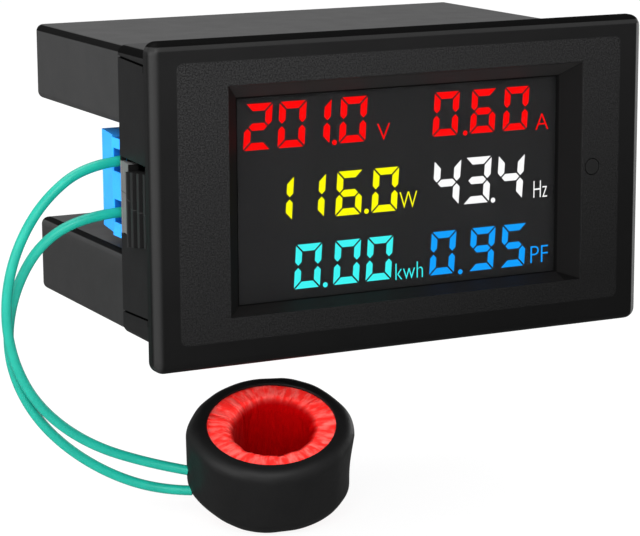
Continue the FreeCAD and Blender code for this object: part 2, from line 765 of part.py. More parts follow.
def make_rear_case():
    body = new_body("rear_case")
    outer = front_sketch(body, s.skirt_depth)
    centred(outer, case_x * 2, case_z * 2)
    pad_rear(body, outer, s.case_depth - s.skirt_depth)
    lip = front_sketch(body, s.skirt_depth)
    lip_x = inner_x + s.lap_rebate - s.lap_gap
    lip_z = inner_z + s.lap_rebate - s.lap_gap
    centred(lip, lip_x * 2, lip_z * 2)
    pad(body, lip, s.lap_depth)
    hollow = front_sketch(body, s.skirt_depth - s.lap_depth)
    centred(hollow, case_inner_x * 2, case_inner_z * 2)
    pocket_rear(body, hollow, s.case_depth - s.case_wall - s.skirt_depth + s.lap_depth)

    # Floor and side walls of the channel, then the channel itself
    web = front_sketch(body, floor_front)
    centred(web, case_inner_x * 2, s.channel_height + s.case_wall * 2)
    pad_rear(body, web, s.case_depth - floor_front)
    channel = sketch_on(body, "YZ_Plane")
    rectangle(channel, channel_y, s.case_depth + 1,
              -(s.channel_height / 2), s.channel_height / 2)
    cut = pocket(body, channel, case_x * 2 + 2, both=True)
    doc.recompute()

    # Outer edges of the prongs
    def outside(at):
        return at.y > channel_y.value - 2 and (
            near(abs(at.x), case_x) and (near(abs(at.z), case_z) or near(abs(at.z), s.channel_height / 2)))

    names = straight_edges(cut, Y_AXIS, outside)
    names += straight_edges(cut, X_AXIS, lambda at: near(at.y, s.case_depth))
    names += straight_edges(cut, Z_AXIS, lambda at: near(at.y, s.case_depth) and near(abs(at.x), case_x))
    round_edges(body, cut, names, s.case_edge)

    # Room for the latches in the lip, and for the terminal blocks in the floor
    notch = sketch_on(body, "YZ_Plane")
    rectangle(notch, s.skirt_depth - s.lap_depth - 1, floor_front, window_low, window_high)
    pocket(body, notch, case_x * 2 + 2, both=True)
    for side in (-1, 1):
        near_x = side * (block_face - s.block_width - s.block_gap)
        low = -(s.pole_pitch + s.block_gap)
        high = s.pole_pitch + s.block_gap - s.block_trim
        step = side * (block_face - s.block_seat + s.block_gap)
        for start, far_x in ((floor_front - 1, step), (s.skirt_depth, side * (case_x + 1))):
            hole = front_sketch(body, start)
            rectangle(hole, near_x, far_x, low, high)
            pocket_rear(body, hole, s.floor_wall + 2)
    doc.recompute()


# Panel latches: a bending finger with ratchet teeth and a lead-in ramp

def latch_profile(side):
    """Corners in X and Y of the latch on one side, from the root round the teeth and the ramp."""
    face = skirt_x
    crest = face + s.latch_proud
    inside = face - s.latch_finger
    valley = crest - s.tooth_deep
    corners = [(inside, s.latch_pivot - s.latch_root), (face, s.latch_pivot - s.latch_root)]
    for tooth in range(3):
        at = s.tooth_first + s.tooth_pitch * tooth
        start = valley if tooth else face
        corners += [(start, at - s.tooth_pitch * 0.12), (crest, at), (crest, at + s.tooth_pitch * 0.3)]
        if tooth < 2:
            corners += [(valley, at + s.tooth_pitch * 0.75)]
    ramp = s.tooth_first + s.tooth_pitch * 3
    corners += [(valley, ramp - s.tooth_pitch * 0.4), (crest, ramp - s.tooth_pitch * 0.1),
                (crest, ramp), (face + s.ramp_proud, ramp_front), (face, s.latch_end),
                (face - s.latch_finger / 2, s.latch_end),
                (inside, ramp)]
    return [(side * x, y) for x, y in corners]


def make_latch(label, side):
    body = new_body(label)
    sketch = sketch_on(body, "XY_Plane", -s.latch_low)
    outline(sketch, latch_profile(side))
    finger = pad(body, sketch, s.latch_low + s.latch_high)
    doc.recompute()
    root = straight_edges(finger, Z_AXIS, lambda at: near(at.y, s.latch_pivot - s.latch_root))
    round_edges(body, finger, root, s.latch_root - s.wrap_gap)

    # The teeth lean: both of their ends are higher at the root than at the ramp
    trims = sketch_on(body, "YZ_Plane")
    front = latch_front - 1
    end = s.latch_end + 1
    outline(trims, ((front, s.teeth_high), (ramp_front, s.teeth_high - s.teeth_fall),
                    (ramp_front, s.latch_high + 1), (front, s.latch_high + 1)))
    outline(trims, ((front, s.teeth_rise - s.latch_low), (ramp_front, -s.latch_low),
                    (ramp_front, -s.ramp_low), (end, -s.ramp_low),
                    (end, -(s.latch_low + 1)), (front, -(s.latch_low + 1))))
    pocket(body, trims, s.flange_width + 2, both=True)
    doc.recompute()


# Terminal blocks: body, current bars, cages and screws

block_base = floor_front
block_top = block_base + s.block_high
wire_y = block_base + s.entry_y
bar_low = wire_y + s.core_diameter / 2 + s.clamp_gap
bar_high = bar_low + s.bar_thick
cage_floor_top = wire_y - s.core_diameter / 2 - s.clamp_gap
nut_low = cage_floor_top + s.cage_window
nut_high = nut_low + s.cage_nut
head_top = block_top - s.mouth_deep - s.seat_gap
head_low = head_top - s.screw_head_high
chamber_top = head_low - s.seat_gap


def make_terminal_body(label, side):
    """Two-pole housing with sloped entry face, chambers open at the base and screw mouths."""
    body = new_body(label)
    face = block_face
    back = block_face - s.block_width
    step_y = block_base + s.block_step_y
    profile = sketch_on(body, "XY_Plane", -s.pole_pitch)
    seat_x = face - s.block_seat
    seat_y = s.skirt_depth + s.seat_gap
    outline(profile, [(side * x, y) for x, y in (
        (back, block_base), (seat_x, block_base), (seat_x, seat_y), (face, seat_y), (face, step_y),
        (face - s.block_step, step_y + s.block_step * 2),
        (face - s.block_lean, block_top), (back, block_top))])
    pad(body, profile, s.pole_pitch * 2 - s.block_trim)

    screw_x = face - s.screw_inset
    reach_x = s.cage_length / 2 + s.cage_gap
    reach_z = s.cage_side / 2 + s.cage_gap
    poles = [level * s.pole_pitch / 2 for level in (-1, 1)]
    chambers = front_sketch(body, block_base)
    for z in poles:
        low_x = back + s.cage_gap * 3
        corners = [(low_x, z - reach_z), (screw_x + reach_x, z - reach_z),
                   (screw_x + reach_x, z + reach_z), (low_x, z + reach_z)]
        outline(chambers, [(side * x, level) for x, level in corners])
    pocket_rear(body, chambers, chamber_top - block_base)
    heads = front_sketch(body, chamber_top)
    for z in poles:
        circle(heads, side * screw_x, z, s.screw_head + s.seat_gap)
    pocket_rear(body, heads, head_top + s.seat_gap - chamber_top)
    mouths = front_sketch(body, head_top)
    for z in poles:
        circle(mouths, side * screw_x, z, s.screw_mouth)
    pocket_rear(body, mouths, s.mouth_deep + 1)

    half = s.entry_side / 2
    entries = sketch_on(body, "YZ_Plane", side * (face + 1))
    for z in poles:
        rectangle(entries, wire_y - half, wire_y + half, z - half, z + half)
    depth = s.screw_inset - reach_x + 1.5
    pocket(body, entries, depth, backward=side < 0)
    doc.recompute()


def make_current_bars(label, side):
    """Two bars, each bent down into a solder pin that goes through the power board."""
    pieces = []
    screw_x = block_face - s.screw_inset
    far = screw_x + s.cage_length / 2
    for number, (at, pole, x, z) in enumerate(pin_places()):
        if at != side:
            continue
        half = s.bar_width / 2
        low_x = side * x - s.pin_side / 2
        span = (low_x, far) if side > 0 else (-far, -low_x)
        bar = block("%s_bar_%d" % (label, number), span, (bar_low, bar_high), (z - half, z + half))
        reach = s.pin_side / 2
        leg = block("%s_pin_%d" % (label, number), (x - reach, x + reach),
                    (power_front - s.pin_out, bar_low), (z - reach, z + reach))
        pole_piece = doc.addObject("Part::MultiFuse", "%s_pole_%d" % (label, number))
        pole_piece.Shapes = [bar, leg]
        pieces.append(pole_piece)
    group = doc.addObject("Part::Compound", label)
    group.Links = pieces
    group.Label = label
    PARTS.append(group)


def make_cage(label, side, pole):
    """Rising cage: a steel box open along the wire, tapped in its top."""
    x = side * (block_face - s.screw_inset)
    z = pole * s.pole_pitch / 2
    half_x = s.cage_length / 2
    half_z = s.cage_side / 2
    outer = block(label + "_outer", (x - half_x, x + half_x),
                  (cage_floor_top - s.cage_floor, nut_high), (z - half_z, z + half_z))
    inner_half = half_z - s.cage_wall
    window = block(label + "_window", (x - half_x - 1, x + half_x + 1),
                   (cage_floor_top, nut_low), (z - inner_half, z + inner_half))
    thread = rod(label + "_thread", x, nut_low - 1, z, s.screw_radius + s.thread_gap, s.cage_nut + 2)
    cut_from(label, outer, [window, thread])


def make_screw(label, side, pole):
    """Slotted screw: a stepped round turned about its own axis."""
    x = side * (block_face - s.screw_inset)
    z = pole * s.pole_pitch / 2
    body = new_body(label)
    profile = sketch_on(body, "XY_Plane", z, x)
    tip = bar_high + s.clamp_gap
    chamfer = s.screw_radius * 0.25
    outline(profile, ((ZERO, tip), (s.screw_radius - chamfer, tip), (s.screw_radius, tip + chamfer),
                      (s.screw_radius, head_low), (s.screw_head, head_low),
                      (s.screw_head, head_top), (ZERO, head_top)))
    revolve(body, profile)
    slot = front_sketch(body, head_top)
    half = s.screw_slot / 2
    rectangle(slot, x - s.screw_head - 1, x + s.screw_head + 1, z - half, z + half)
    pocket_front(body, slot, s.screw_head_high / 2)
    doc.recompute()


# Parts on the boards

def make_components():
    low = s.channel_height / 2 + s.case_wall + s.shelf_gap
    high = case_inner_z - s.shelf_gap
    middle = (low + high) / 2
    room = (high - low) / 2
    base = floor_front
    left = s.parts_inset - case_inner_x
    right = case_inner_x - s.parts_inset
    film = block("film_capacitor", (left, left + s.film_long), (base, base + s.film_tall), (low, high))
    PARTS.append(film)

    radius = room - s.can_gap
    can = rod("electrolytic_can", s.can_right, base + s.can_foot, middle, radius, s.can_tall)
    seal = rod("electrolytic_seal", s.can_right, base, middle, radius - s.can_foot, s.can_foot * 2)
    joined("smoothing_capacitor", [can, seal])

    wound = base + s.coil_flange
    upper = wound + s.coil_tall
    foot = block("coil_foot", (right - s.coil_long, right), (base, wound), (low, high))
    limb = block("coil_winding", (right - s.coil_long + s.coil_step, right - s.coil_step),
                 (wound, upper), (low + s.coil_gap, high - s.coil_gap))
    cap = block("coil_cap", (right - s.coil_long, right), (upper, upper + s.coil_flange), (low, high))
    joined("transformer", [foot, limb, cap])

    radius = room - s.disc_gap
    disc = doc.addObject("Part::Cylinder", "varistor_disc")
    disc.Placement.Rotation = FreeCAD.Rotation(Y_AXIS, 90)
    disc.setExpression("Radius", radius.text)
    disc.setExpression("Height", s.disc_thick.text)
    start = right - s.coil_long / 2
    disc.setExpression("Placement.Base.x", start.text)
    disc.setExpression("Placement.Base.y", (base + s.disc_foot + radius).text)
    disc.setExpression("Placement.Base.z", (-middle).text)
    across = start + s.disc_thick / 2 - s.leg_side / 2
    legs = []
    for number, level in enumerate((-1, 1)):
        at = level * (radius - s.leg_side) - s.leg_side / 2 - middle
        legs.append(block("varistor_leg_%d" % number, (across, across + s.leg_side),
                          (base, base + s.disc_foot + radius / 2), (at, at + s.leg_side)))
    joined("varistor", [disc] + legs)

    barrel = rod("fuse_barrel", s.fuse_right, base + s.fuse_foot, -middle, s.fuse_radius, s.fuse_tall)
    lead = rod("fuse_lead", s.fuse_right, base, -middle, s.fuse_radius / 4, s.fuse_foot * 1.5)
    joined("fuse_resistor", [barrel, lead])

    pin = [x for side, pole, x, z in pin_places() if side < 0][0]
    start = pin + s.pin_side / 2 + s.shelf_gap
    level = s.pole_pitch / 2 - s.burden_wide / 2
    PARTS.append(block("burden_resistor", (start, start + s.burden_long),
                       (power_front - s.burden_thick, power_front), (level, level + s.burden_wide)))


def make_chip(label, x, z, y_face, long_x, long_z, pins, away):
    """Flat chip with a row of gull-wing leads along two sides, standing off a board face."""
    thick = s.chip_thick * away
    back, front = (y_face, y_face + thick) if away > 0 else (y_face + thick, y_face)
    body = block(label + "_body", (x - long_x / 2, x + long_x / 2), (back, front),
                 (z - long_z / 2, z + long_z / 2))
    pitch = long_x / pins
    foot = (y_face, y_face + s.chip_foot) if away > 0 else (y_face - s.chip_foot, y_face)
    reach = long_z / 2 + s.chip_reach
    pieces = [body]
    for k in range(pins):
        at = x - long_x / 2 + pitch * (k + 0.5)
        pieces.append(block("%s_lead_%d" % (label, k), (at - s.chip_lead / 2, at + s.chip_lead / 2),
                            foot, (z - reach, z + reach)))
    joined(label, pieces)


def make_header():
    """Pin strip on the display board and the socket on the power board that takes it."""
    half = s.header_deep / 2
    level = display_z - s.header_down
    low, high = level - half, level + half
    strip = display_back + s.header_base
    ends = (s.header_pitch * -3, s.header_pitch * 3)
    pieces = [block("header_strip", ends, (display_back, strip), (low, high))]
    holes = []
    pin = s.header_pin / 2
    hole = pin + s.header_gap
    for number in range(6):
        at = (number - 2.5) * s.header_pitch
        pieces.append(block("header_pin_%d" % number, (at - pin, at + pin),
                            (strip, strip + s.header_pin_long), (level - pin, level + pin)))
        holes.append(block("header_hole_%d" % number, (at - hole, at + hole),
                           (strip - 1, strip + s.header_pin_long + s.header_gap),
                           (level - hole, level + hole)))
    joined("header_pins", pieces)
    cut_from("header_socket", block("header_block", ends, (strip, power_front), (low, high)), holes)


# Current transformer ring

ring_place = FreeCAD.Placement(
    FreeCAD.Vector(s.ring_x.value, s.ring_y.value, s.ring_z.value),
    FreeCAD.Rotation(
        FreeCAD.Vector(math.cos(math.radians(s.ring_turn.value)),
                       -math.sin(math.radians(s.ring_turn.value)), 0),
        s.ring_lean.value))

# Corners of the two lead routes, chosen by hand. The first is in the wire entry, the last in the ring.
LEAD_UPPER = ((-40.1, 19.7, 3.75), (-47.1, 20.0, -1.2), (-51.4, 20.5, -8.5),
              (-52.8, 21.5, -16.9), (-51.1, 23.0, -25.4), (-46.6, 24.5, -33.1), (-38.8, 25.5, -39.6),
              (-29.4, 24.5, -43.5), (-24.3, 22.1, -44.6))
LEAD_LOWER = ((-40.1, 19.7, -3.75), (-46.9, 21.2, -7.2), (-50.6, 23.2, -14.4),
              (-51.5, 24.8, -22.9), (-49.1, 26.0, -30.8), (-44.1, 26.8, -38.0), (-36.5, 26.8, -44.2),
              (-28.3, 24.7, -47.8), (-23.7, 22.0, -47.8))


def route(level, corners):
    """The route's corners with its first one inside the wire entry of a pole."""
    start = FreeCAD.Vector(-(block_face - s.lead_strip).value, wire_y.value,
                           level * s.pole_pitch.value / 2)
    return [start] + [FreeCAD.Vector(*corner) for corner in corners]


def lead_path(points, label):
    """Straight runs joined by tangent arcs as large as each pair of runs allows."""
    edges = []
    last = points[0]
    radii = []
    for before, here, after in zip(points, points[1:], points[2:]):
        into = here - before
        out = after - here
        shorter = min(into.Length, out.Length)
        into.normalize()
        out.normalize()
        half_turn = math.acos(max(-1.0, min(1.0, into.dot(out)))) / 2
        reach = 0.45 * shorter
        radius = reach / math.tan(half_turn)
        radii.append(round(radius, 1))
        start = here - into * reach
        end = here + out * reach
        inward = (out - into).normalize()
        centre = here + inward * (radius / math.cos(half_turn))
        middle = centre - inward * radius
        edges.append(Part.LineSegment(last, start).toShape())
        edges.append(Part.Arc(start, middle, end).toShape())
        last = end
    edges.append(Part.LineSegment(last, points[-1]).toShape())
    print(label, "bend radii", radii)
    return Part.Wire(edges)


def tube(path, radius, label):
    """Round tube along a path; its volume is compared with its section times its length."""
    first = path.Edges[0]
    start = first.Vertexes[0].Point
    way = first.tangentAt(first.FirstParameter)
    ring = Part.Wire(Part.makeCircle(radius, start, way))
    solid = path.makePipeShell([ring], True, False)
    wanted = math.pi * radius * radius * path.Length
    print(label, "length", round(path.Length, 1), "volume ratio", round(solid.Volume / wanted, 4))
    return solid


def make_leads():
    solids = []
    for label, level, corners in (("ct_lead_upper", 1, LEAD_UPPER), ("ct_lead_lower", -1, LEAD_LOWER)):
        points = route(level, corners)
        solid = tube(lead_path(points, label), s.lead_diameter.value / 2, label)
        from_shape(label, solid)
        solids.append(points)
        inner = -(block_face - s.screw_inset - s.cage_length / 2)
        core = doc.addObject("Part::Cylinder", label.replace("lead", "core_wire"))
        core.Placement.Rotation = FreeCAD.Rotation(Y_AXIS, 90)
        core.setExpression("Radius", (s.core_diameter / 2).text)
        core.setExpression("Height", (inner + (block_face - s.lead_strip)).text)
        core.setExpression("Placement.Base.x", (-(block_face - s.lead_strip)).text)
        core.setExpression("Placement.Base.y", wire_y.text)
        core.setExpression("Placement.Base.z", (level * s.pole_pitch / 2).text)
        PARTS.append(core)
    return solids


def ring_profile(outer, half, corner, inner, inner_corner):
    """Rounded rectangle in radius and height, as a wire: outer and inner corners differ."""
    def point(r, z):
        return FreeCAD.Vector(r, 0, z)

    def bend(r, z, radius, sr, sz):
        k = math.sqrt(0.5) * radius
        return point(r + sr * k, z + sz * k)

    edges = []
    a = corner
    b = inner_corner
    ends = [
        (point(inner + b, half), point(outer - a, half)),
        (point(outer, half - a), point(outer, a - half)),
        (point(outer - a, -half), point(inner + b, -half)),
        (point(inner, b - half), point(inner, half - b)),
    ]
    arcs = [bend(outer - a, half - a, a, 1, 1), bend(outer - a, a - half, a, 1, -1),
            bend(inner + b, b - half, b, -1, -1), bend(inner + b, half - b, b, -1, 1)]
    for k in range(4):
        edges.append(Part.LineSegment(*ends[k]).toShape())
        following = ends[(k + 1) % 4][0]
        edges.append(Part.Arc(ends[k][1], arcs[k], following).toShape())
    return Part.Face(Part.Wire(edges))


def turned(face, angle=360.0, start=0.0):
    """Turn a face in radius and height about the ring's axis."""
    solid = face.revolve(FreeCAD.Vector(0, 0, 0), Z_AXIS, angle)
    if start:
        solid.rotate(FreeCAD.Vector(0, 0, 0), Z_AXIS, start)
    return solid


def make_ring(routes):
    """Core, winding, tape wrap and shrunk sleeve, each inside the next."""
    gap = s.wrap_gap.value
    outer = s.ring_radius.value
    half = s.ring_height.value / 2
    corner = s.ring_round.value
    wall = s.sleeve_wall.value
    back = ring_place.inverse()
    holes = []
    for points in routes:
        end = back.multVec(points[-1])
        way = back.multVec(points[-2]) - end
        way.normalize()
        holes.append(Part.makeCylinder(s.lead_diameter.value / 2 + gap, 6, end - way * 0.3, way))

    full = ring_profile(outer, half, corner, s.bore_radius.value, 1.0)
    inside = ring_profile(outer - wall, half - wall, corner - wall, s.bore_radius.value - 1, 0.5)
    mouth = Part.makeCylinder(s.sleeve_mouth.value, 4 * half, FreeCAD.Vector(0, 0, -2 * half))
    sleeve = turned(full).cut([turned(inside), mouth] + holes)
    from_shape("ct_sleeve", sleeve, ring_place)

    wrap_out = outer - wall - gap
    wrap_half = half - wall - gap
    wrap_corner = corner - wall - gap
    bore = s.bore_radius.value
    tape = s.tape_wall.value
    bend = s.tape_round.value
    skin = ring_profile(wrap_out, wrap_half, wrap_corner, bore, bend)
    void = ring_profile(wrap_out - tape, wrap_half - tape, wrap_corner - tape, bore + tape, bend - tape)
    from_shape("ct_tape_wrap", turned(skin).cut([turned(void)] + holes), ring_place)

    wound_out = wrap_out - tape - gap
    wound_half = wrap_half - tape - gap
    wound_in = bore + tape + gap
    wire = s.winding_wall.value
    shell = ring_profile(wound_out, wound_half, wrap_corner - tape - gap, wound_in, bend - tape - gap)
    space = ring_profile(wound_out - wire, wound_half - wire, 0.6, wound_in + wire, 0.6)
    winding = turned(shell, 340.0, 190.0).cut(turned(space))
    from_shape("ct_winding", winding, ring_place)

    core = ring_profile(wound_out - wire - gap, wound_half - wire - gap, s.core_edge.value + 0.4,
                        wound_in + wire + gap, s.core_edge.value + 0.4)
    from_shape("ct_core", turned(core), ring_place)


def check_and_write():
    """Stop on any object that failed or any sub-part that isn't a sound solid, then write them."""
    doc.recompute()
    for item in doc.Objects:
        bad = [word for word in item.State if word in ("Invalid", "Error")]
        if bad:
            raise SystemExit("%s: %s" % (item.Label, bad))
    for item in PARTS:
        if item.Shape.isNull() or not item.Shape.isValid() or not item.Shape.Solids:
            raise SystemExit("%s: no sound solid" % item.Label)
    os.makedirs("parts", exist_ok=True)
    for item in PARTS:
        item.Shape.exportStep("parts/%s.step" % item.Label)
        print("%-22s solids %d volume %.1f" % (item.Label, len(item.Shape.Solids), item.Shape.Volume))


make_front_bezel()
make_window_lens()
make_display()
make_boards()
make_reset_button()
make_switch()
make_rear_case()
make_latch("left_latch", -1)
make_latch("right_latch", 1)
for block_label, block_side in (("ct", -1), ("mains", 1)):
    make_terminal_body(block_label + "_terminal_body", block_side)
    make_current_bars(block_label + "_current_bars", block_side)
    for pole_label, pole_level in (("upper", 1), ("lower", -1)):
        make_cage("%s_cage_%s" % (block_label, pole_label), block_side, pole_level)
        make_screw("%s_screw_%s" % (block_label, pole_label), block_side, pole_level)
make_components()
make_chip("microcontroller", s.control_in - display_x, display_z - s.control_down, display_back,
          s.control_side, s.control_side, 8, 1)
make_chip("metering_chip", power_x - s.metering_in, s.metering_up - power_z, power_front,
          s.metering_long, s.metering_wide, 8, -1)
make_header()
make_ring(make_leads())
check_and_write()
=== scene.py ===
import json
import math

import bpy
import numpy as np
from mathutils import Matrix, Vector


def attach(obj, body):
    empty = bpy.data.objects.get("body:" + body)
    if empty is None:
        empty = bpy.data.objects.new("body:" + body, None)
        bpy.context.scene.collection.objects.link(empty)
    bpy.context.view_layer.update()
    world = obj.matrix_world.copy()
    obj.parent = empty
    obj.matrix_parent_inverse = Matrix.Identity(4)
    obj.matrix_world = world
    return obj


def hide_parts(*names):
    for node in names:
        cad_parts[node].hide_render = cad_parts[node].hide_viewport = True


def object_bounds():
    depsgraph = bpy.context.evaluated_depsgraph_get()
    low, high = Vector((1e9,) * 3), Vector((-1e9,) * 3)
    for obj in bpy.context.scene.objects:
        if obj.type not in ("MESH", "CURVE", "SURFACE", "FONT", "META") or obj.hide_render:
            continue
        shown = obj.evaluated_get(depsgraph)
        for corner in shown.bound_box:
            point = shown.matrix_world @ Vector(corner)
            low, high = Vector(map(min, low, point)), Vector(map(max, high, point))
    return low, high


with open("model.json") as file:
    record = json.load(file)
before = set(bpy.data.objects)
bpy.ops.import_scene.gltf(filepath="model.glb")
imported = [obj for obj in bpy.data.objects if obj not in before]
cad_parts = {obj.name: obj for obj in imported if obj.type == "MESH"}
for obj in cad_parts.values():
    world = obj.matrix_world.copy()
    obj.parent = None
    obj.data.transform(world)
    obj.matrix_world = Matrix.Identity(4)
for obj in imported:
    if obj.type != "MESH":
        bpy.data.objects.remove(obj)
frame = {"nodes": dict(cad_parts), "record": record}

# Panel power meter with its current transformer: finishes, lit reading, light and camera round the solids
MM = 0.001
CAD_BOX = [list(corner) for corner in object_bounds()]

# Camera: where the photograph was taken from, solved from the bezel's, window's and case's edges
CAMERA_PLACE = (-168.249, -309.662, 59.95)
CAMERA_YAW = 26.634
CAMERA_PITCH = 11.517
CAMERA_ROLL = -0.310
CAMERA_LENS = 139.985


def make_camera():
    """Camera looking along yaw from +Y to +X and down by the pitch, then rolled about its own line of
    sight."""
    yaw, pitch, roll = (math.radians(angle) for angle in (CAMERA_YAW, CAMERA_PITCH, CAMERA_ROLL))
    ahead = Vector((math.sin(yaw) * math.cos(pitch), math.cos(yaw) * math.cos(pitch), -math.sin(pitch)))
    level = Vector((math.cos(yaw), -math.sin(yaw), 0))
    head = level.cross(ahead)
    right = level * math.cos(roll) + head * math.sin(roll)
    up = head * math.cos(roll) - level * math.sin(roll)
    camera = bpy.data.objects.new("camera", bpy.data.cameras.new("camera"))
    camera.data.lens = CAMERA_LENS
    camera.data.clip_start = 0.01
    bpy.context.scene.collection.objects.link(camera)
    turn = Matrix((right, up, -ahead)).transposed().to_4x4()
    camera.matrix_world = Matrix.Translation(Vector(CAMERA_PLACE) * MM) @ turn
    bpy.context.scene.camera = camera


# Leads of the current transformer: each one's length in metres, and its solid's route in mm
LEAD_DIAMETER = 1.5
ENTRY_LEVEL = 3.75
LEAD_START = (-33.4, 19.7)
LEADS = {
    "upper": (0.0756, ((-40.1, 19.7, 3.75), (-47.1, 20.0, -1.2), (-51.4, 20.5, -8.5),
                       (-52.8, 21.5, -16.9), (-51.1, 23.0, -25.4), (-46.6, 24.5, -33.1),
                       (-38.8, 25.5, -39.6), (-29.4, 24.5, -43.5), (-24.3, 22.1, -44.6))),
    "lower": (0.0722, ((-40.1, 19.7, -3.75), (-46.9, 21.2, -7.2), (-50.6, 23.2, -14.4),
                       (-51.5, 24.8, -22.9), (-49.1, 26.0, -30.8), (-44.1, 26.8, -38.0),
                       (-36.5, 26.8, -44.2), (-28.3, 24.7, -47.8), (-23.7, 22.0, -47.8))),
}


def make_lead(which, level):
    """Round lead on one NURBS spline whose control points are the solid's route."""
    curve = bpy.data.curves.new("lead_" + which, "CURVE")
    curve.dimensions = "3D"
    curve.bevel_depth = 1.0
    curve.bevel_resolution = 7
    curve.resolution_u = 16
    curve.use_fill_caps = True
    spline = curve.splines.new("NURBS")
    route = ((*LEAD_START, level),) + LEADS[which][1]
    spline.points.add(len(route) - 1)
    for point, place in zip(spline.points, route):
        point.co = (*(Vector(place) * MM), 1)
        point.radius = LEAD_DIAMETER * MM / 2
    spline.order_u = 3
    spline.use_endpoint_u = True
    lead = bpy.data.objects.new("lead_" + which, curve)
    bpy.context.scene.collection.objects.link(lead)
    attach(lead, "meter")
    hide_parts("ct_lead_" + which)
    return lead


# Shader sums
class Value:
    """A number or colour that runs through a finish. Sums on it add their Math nodes."""

    def __init__(self, finish, socket):
        self.finish = finish
        self.socket = socket

    def __add__(self, other):
        return self.finish.maths("ADD", self, other)

    def __radd__(self, other):
        return self.finish.maths("ADD", other, self)

    def __sub__(self, other):
        return self.finish.maths("SUBTRACT", self, other)

    def __rsub__(self, other):
        return self.finish.maths("SUBTRACT", other, self)

    def __mul__(self, other):
        return self.finish.maths("MULTIPLY", self, other)

    def __truediv__(self, other):
        return self.finish.maths("DIVIDE", self, other)

    def __pow__(self, other):
        return self.finish.maths("POWER", self, other)


class Finish:
    """One material and its nodes, which end in a Principled surface unless ends() is given another."""

    def __init__(self, name, **constants):
        self.material = bpy.data.materials.new(name)
        self.material.use_nodes = True
        self.tree = self.material.node_tree
        self.tree.nodes.clear()
        self.surface = self.tree.nodes.new("ShaderNodeBsdfPrincipled")
        self.ends(self.surface.outputs[0])
        for socket, value in constants.items():
            self.set(socket.replace("_", " "), value)

    def join(self, value, socket):
        """Feed a socket from another node's value, or set it to a constant."""
        if isinstance(value, Value):
            self.tree.links.new(value.socket, socket)
        elif isinstance(value, tuple) and socket.type == "RGBA":
            socket.default_value = (*value, 1)
        else:
            socket.default_value = value

    def set(self, socket, value):
        self.join(value, self.surface.inputs[socket])

    def ends(self, shader):
        """Make a shader's output the one that the material shows."""
        made = self.tree.nodes.get("end") or self.tree.nodes.new("ShaderNodeOutputMaterial")
        made.name = "end"
        self.tree.links.new(shader, made.inputs[0])

    def flat(self, share, colour):
        """Lay a matt tone that mirrors nothing over the surface, by a share from 0 to 1."""
        matt = self.node("ShaderNodeBsdfPrincipled", {},
                         {"Base Color": colour, "Specular IOR Level": 0.0, "Roughness": 1.0})
        mixed = self.node("ShaderNodeMixShader", {},
                          {0: share, 1: Value(self, self.surface.outputs[0]), 2: matt})
        self.ends(mixed.socket)

    def node(self, kind, settings, inputs, output=0):
        """A new node with its settings and inputs, as the value of one of its outputs."""
        made = self.tree.nodes.new(kind)
        for name, value in settings.items():
            setattr(made, name, value)
        for name, value in inputs.items():
            self.join(value, made.inputs[name])
        return Value(self, made.outputs[output])

    def maths(self, operation, *values):
        return self.node("ShaderNodeMath", {"operation": operation}, dict(enumerate(values)))

    def clamp(self, value):
        """The value, held between 0 and 1."""
        return self.node("ShaderNodeMath", {"operation": "MULTIPLY", "use_clamp": True}, {0: value, 1: 1.0})

    def step(self, value, low, high):
        """0 below low, 1 above high, and smooth between."""
        return self.node("ShaderNodeMapRange", {"interpolation_type": "SMOOTHSTEP"},
                         {0: value, 1: low, 2: high, 3: 0.0, 4: 1.0})

    def past(self, value, start, over=0.1):
        """0 up to start mm, 1 from over mm further on, and smooth between, for a value in metres."""
        return self.step(value, start * MM, (start + over) * MM)

    def between(self, value, low, high):
        """A value from 0 to 1, moved to the range from low to high."""
        return self.node("ShaderNodeMapRange", {}, {0: value, 1: 0.0, 2: 1.0, 3: low, 4: high})

    def mix(self, factor, first, second):
        """From the first colour at 0 to the second at 1."""
        return self.node("ShaderNodeMix", {"data_type": "RGBA"}, {0: factor, 6: first, 7: second}, 2)

    def place(self):
        """The point that is shaded, in metres."""
        return self.node("ShaderNodeTexCoord", {}, {}, "Object")

    def axes(self):
        """X, Y and Z of the point, each a value."""
        parts = self.tree.nodes.new("ShaderNodeSeparateXYZ")
        self.join(self.place(), parts.inputs[0])
        return [Value(self, parts.outputs[k]) for k in range(3)]

    def stretched(self, x, y, z):
        """The point with its axes scaled, which draws a pattern out along the smallest."""
        return self.node("ShaderNodeVectorMath", {"operation": "MULTIPLY"}, {0: self.place(), 1: (x, y, z)})

    def noise(self, size, detail=2.0, place=None, rough=0.5):
        """Cloudy pattern from 0 to 1, whose clouds are about size mm across."""
        return self.node("ShaderNodeTexNoise", {},
                         {"Vector": place or self.place(), "Scale": 1 / (size * MM), "Detail": detail,
                          "Roughness": rough})

    def cells(self, size):
        """Distance from the middles of cells about size mm across."""
        return self.node("ShaderNodeTexVoronoi", {"feature": "F1"},
                         {"Vector": self.place(), "Scale": 1 / (size * MM)})

    def bump(self, height, depth):
        """Normal bent by a height from 0 to 1 that stands for depth mm."""
        return self.node("ShaderNodeBump", {}, {"Height": height, "Distance": depth * MM, "Strength": 1.0})


